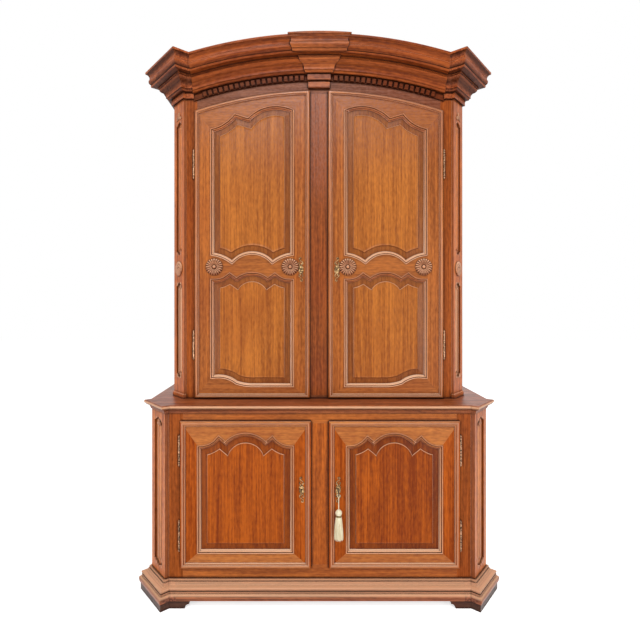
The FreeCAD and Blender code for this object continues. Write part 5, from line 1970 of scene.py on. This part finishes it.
    def neck(self, finish: bpy.types.Material) -> bpy.types.Object:
        """Make the band of thread wound round the neck.

        Args:
            finish: Its thread.

        Returns:
            The new piece.
        """
        shape = Shape()
        pitch = (self.head_foot - self.neck_foot) / self.neck_rounds
        middle, size = self.neck_radius - pitch * self.thread_sunk, pitch * self.thread_share
        sides = [TURN * m / self.thread_sides for m in range(self.thread_sides)]
        for r in range(self.neck_rounds):
            z = self.head_foot - pitch * (r + 0.5)
            rings = []
            for k in range(self.neck_parts):
                angle = TURN * k / self.neck_parts
                rings.append([self.at(middle + size * math.cos(a), angle, z + size * math.sin(a))
                              for a in sides])
            shape.skin(rings, closed=True)
        return shape.piece("tassel_neck", "tassel", "silk", finish)

    def strand_size(self, share: float) -> float:
        """Radius of a strand at a share of its length."""
        return self.strand_radius * (1.0 if share < self.tip_start else self.tip_share)

    def skirt(self, finish: bpy.types.Material) -> bpy.types.Object:
        """Make the hanging strands in layers, each a little wavy and of its own length.

        Args:
            finish: Their silk.

        Returns:
            The new piece.
        """
        draw = random.Random(self.seed)
        shape = Shape()
        parts = self.skirt_parts
        for count, share in self.layers:
            start = (self.neck_radius - self.strand_radius) * share
            for k in range(count):
                angle = TURN * (k + draw.uniform(-self.strand_stray, self.strand_stray)) / count
                cut = draw.uniform(0.0, self.strand_cut)
                slack = draw.uniform(0.0, self.strand_slack)
                wave, phase = draw.uniform(0.0, self.strand_wave), draw.uniform(0, TURN)
                foot = self.skirt_foot + cut + (1 - share) * self.layer_step
                reach = self.skirt_radius * share - self.strand_radius - slack
                drop = foot - self.neck_foot - self.skirt_start
                line = []
                for s in (i / parts for i in range(parts + 1)):
                    radius = start + (reach - start) * math.sin(s * math.pi / 2) ** self.skirt_swell
                    swing = wave / max(radius, self.wave_least)
                    turn = angle + swing * math.sin(phase + s * self.wave_pitch)
                    line.append(self.at(radius, turn, self.neck_foot + self.skirt_start + drop * s))
                shape.tube(line, self.strand_size, self.strand_sides)
        return shape.piece("tassel_skirt", "tassel", "silk", finish)

    def build(self) -> None:
        """Make the whole tassel and hide the model's plain tassel and cord."""
        silk = Silk("cream silk", screen(255, 251, 222), screen(206, 172, 104)).material()
        band = Silk("neck thread", screen(150, 130, 84), screen(78, 60, 32)).material()
        parts = [self.loop(silk), self.head(silk), self.neck(band)]
        self.skirt(silk)
        cord, line = self.cord(silk)
        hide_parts("tassel_cord")
        tuple(line[0])
        [tuple(p) for p in line]


@dataclass
class Studio:
    """Pale floor, soft lamps, white surround and the camera."""

    eye: Vector = field(default_factory=lambda: Vector((-0.0783, -2.4234, 1.3975)))
    lens: float = 26.232
    shift: Flat = (0.02669, -0.03024)
    sensor: float = 36.0
    floor_half: float = 14.0
    floor_glow: float = 0.70
    floor_white: float = 0.80
    floor_bounce: float = 0.55
    white: Colour = (1.0, 1.0, 1.0, 1.0)
    soft_white: Colour = (1.0, 0.985, 0.965, 1.0)
    ambient: Flat = (0.20, 0.48)
    lamps: tuple[tuple[str, Flat, Vector, Vector, float], ...] = (
        ("top lamp", (1.8, 0.8), Vector((-0.25, -3.7, 4.4)), Vector((0.0, 0.0, 1.1)), 80.0),
        ("left lamp", (0.5, 2.2), Vector((-2.5, -2.9, 1.1)), Vector((-0.1, 0.0, 1.0)), 44.0),
        ("right lamp", (0.5, 2.2), Vector((2.5, -2.9, 1.1)), Vector((0.1, 0.0, 1.0)), 48.0),
        ("back lamp", (2.4, 2.4), Vector((0.8, 4.6, 3.4)), Vector((0.0, 0.3, 1.2)), 90.0),
    )

    def camera(self) -> None:
        """Camera at the photograph's place."""
        data = bpy.data.cameras.new("camera")
        data.lens, data.sensor_width = self.lens, self.sensor
        data.shift_x, data.shift_y = self.shift
        camera = bpy.data.objects.new("camera", data)
        camera.location = self.eye
        camera.rotation_euler = (math.pi / 2, 0.0, 0.0)
        bpy.context.scene.collection.objects.link(camera)
        bpy.context.scene.camera = camera

    def light(self) -> None:
        """Large soft lamps."""
        for name, size, place, aim, power in self.lamps:
            data = bpy.data.lights.new(name, "AREA")
            data.shape = "RECTANGLE"
            data.size, data.size_y = size
            data.energy = power
            lamp = bpy.data.objects.new(name, data)
            lamp.location = place
            lamp.rotation_euler = (aim - place).to_track_quat("-Z", "Y").to_euler()
            bpy.context.scene.collection.objects.link(lamp)

    def seen(self, graph: Graph) -> Wire:
        """Find the rays that show the background: from the camera, a gloss or a glass.

        Args:
            graph: Graph of the material or the world.

        Returns:
            One for those rays, else zero.
        """
        path = graph.node("LightPath", {}, {})
        camera, gloss, glass = (Wire(graph, path.outputs[name]) for name in
                                ("Is Camera Ray", "Is Glossy Ray", "Is Transmission Ray"))
        return (camera + gloss + glass).clamped()

    def surround(self) -> None:
        """World that is white to the eye and lights the object softly."""
        world = bpy.data.worlds.new("surround")
        world.use_nodes = True
        bpy.context.scene.world = world
        graph = Graph(world.node_tree)
        white = graph.out("Background", {}, {"Color": self.white, "Strength": 1.0})
        low, high = self.ambient
        way = graph.out("TexCoord", {}, {}, "Generated")
        strength = low + (high - low) * graph.split(way)[2].rise(0.0, 1.0)
        soft = graph.out("Background", {}, {"Color": self.soft_white, "Strength": strength})
        mixed = graph.out("MixShader", {}, {0: self.seen(graph), 1: soft, 2: white})
        graph.node("OutputWorld", {}, {"Surface": mixed})

    def floor(self) -> None:
        """Plain floor that looks white where no shadow falls."""
        half = self.floor_half
        mesh = bpy.data.meshes.new("floor")
        corners = [(-half, -half, 0), (half, -half, 0), (half, half, 0), (-half, half, 0)]
        mesh.from_pydata(corners, [], [(0, 1, 2, 3)])
        floor = bpy.data.objects.new("floor", mesh)
        bpy.context.scene.collection.objects.link(floor)
        material, graph = new_finish("floor white")
        matt = graph.out("BsdfDiffuse", {}, {"Color": (*[self.floor_bounce] * 3, 1.0)})
        dim = graph.out("BsdfDiffuse", {}, {"Color": (*[self.floor_white] * 3, 1.0)})
        glow = graph.out("Emission", {}, {"Color": self.white, "Strength": self.floor_glow})
        bright = graph.out("AddShader", {}, {0: dim, 1: glow})
        mixed = graph.out("MixShader", {}, {0: self.seen(graph), 1: matt, 2: bright})
        graph.node("OutputMaterial", {"target": "ALL"}, {"Surface": mixed})
        mesh.materials.append(material)

    def build(self) -> None:
        """Set the whole studio."""
        self.camera()
        self.light()
        self.surround()
        self.floor()
        bpy.context.scene.view_settings.view_transform = "Standard"


def lower_doors() -> Iterable[Door]:
    """Draw the two doors of the base.

    Returns:
        The left and the right door.
    """
    keyhole = Vector((0.084, -0.27781, 0.528))
    near, far, foot, head = 0.0415, 0.6435, 0.166, 0.842
    outline = ((near, foot), (far, foot), (far, head), (near, head))
    for side, seed in ((Side.LEFT, 60), (Side.RIGHT, 70)):
        name = f"lower {side.name.lower()} "
        yield Door(
            "lower", side,
            Oak(name + "stile oak", screen(194, 94, 26), screen(138, 58, 12), Grain.UP, seed,
                gloss=0.09),
            Oak(name + "rail oak", screen(208, 128, 62), screen(158, 86, 42), Grain.ACROSS,
                seed + 1, contrast=0.65),
            # Painted shade reaches far from the sticking over the panels.
            Oak(name + "panel oak", screen(188, 92, 22), screen(128, 52, 10), Grain.UP, seed + 2,
                board=0.17, gloss=0.14, grime_and_shade_share=0.8, grime_and_shade_reach=0.026),
            keyhole, outline, border=25.0)


def upper_doors() -> Iterable[Door]:
    """Draw the two doors of the upper case.

    Returns:
        The left and the right door.
    """
    keyhole = Vector((0.088, -0.14381, 1.5501))
    near, far, foot, radius, parts = 0.0455, 0.6075, 0.922, 1.923, 24
    arch = [far + (near - far) * k / parts for k in range(parts + 1)]
    outline = ((near, foot), (far, foot),
               *((x, ARCH_CENTRE + math.sqrt(radius ** 2 - x ** 2)) for x in arch))
    rosette_height, rosettes = 1.5621, (0.141, 0.512)
    for side, seed in ((Side.LEFT, 80), (Side.RIGHT, 90)):
        name = f"upper {side.name.lower()} "
        # Their oak carries a painted glare of reflected light high up.
        yield Door(
            "upper", side,
            Oak(name + "stile oak", screen(195, 111, 46), screen(136, 70, 26), Grain.UP, seed,
                glare_from=2.05, glare_share=0.45),
            Oak(name + "rail oak", screen(192, 112, 52), screen(139, 75, 32), Grain.ACROSS,
                seed + 1, contrast=0.65, glare_from=2.15, glare_share=0.65),
            Oak(name + "panel oak", screen(198, 117, 46), screen(146, 77, 26), Grain.UP, seed + 2,
                board=0.155, grime_and_shade_share=0.8, grime_and_shade_reach=0.022, glare_from=1.95, glare_share=0.32),
            keyhole, outline, border=21.0, rosettes=[(x, rosette_height) for x in rosettes])


def main() -> None:
    """Dress the model, add the finer pieces and set the studio."""
    logging.basicConfig(level=logging.INFO, format="%(message)s")
    Studio().build()
    CaseWood().build()
    ironwork, carved = Ironwork(), Carved()
    ironwork.build()
    for door in (*lower_doors(), *upper_doors()):
        door.build(ironwork, carved)
    Medallions().build(carved)
    Leaves("upper_pocket_leaves", UPPER_CANT, 2.302, length=0.034, sunk=-0.0005).build(carved.leaf)
    Leaves("base_pocket_leaves", BASE_CANT, 0.815, length=0.028, sunk=0.0045).build(carved.leaf)
    Tassel().build()


if __name__ == "__main__":
    main()
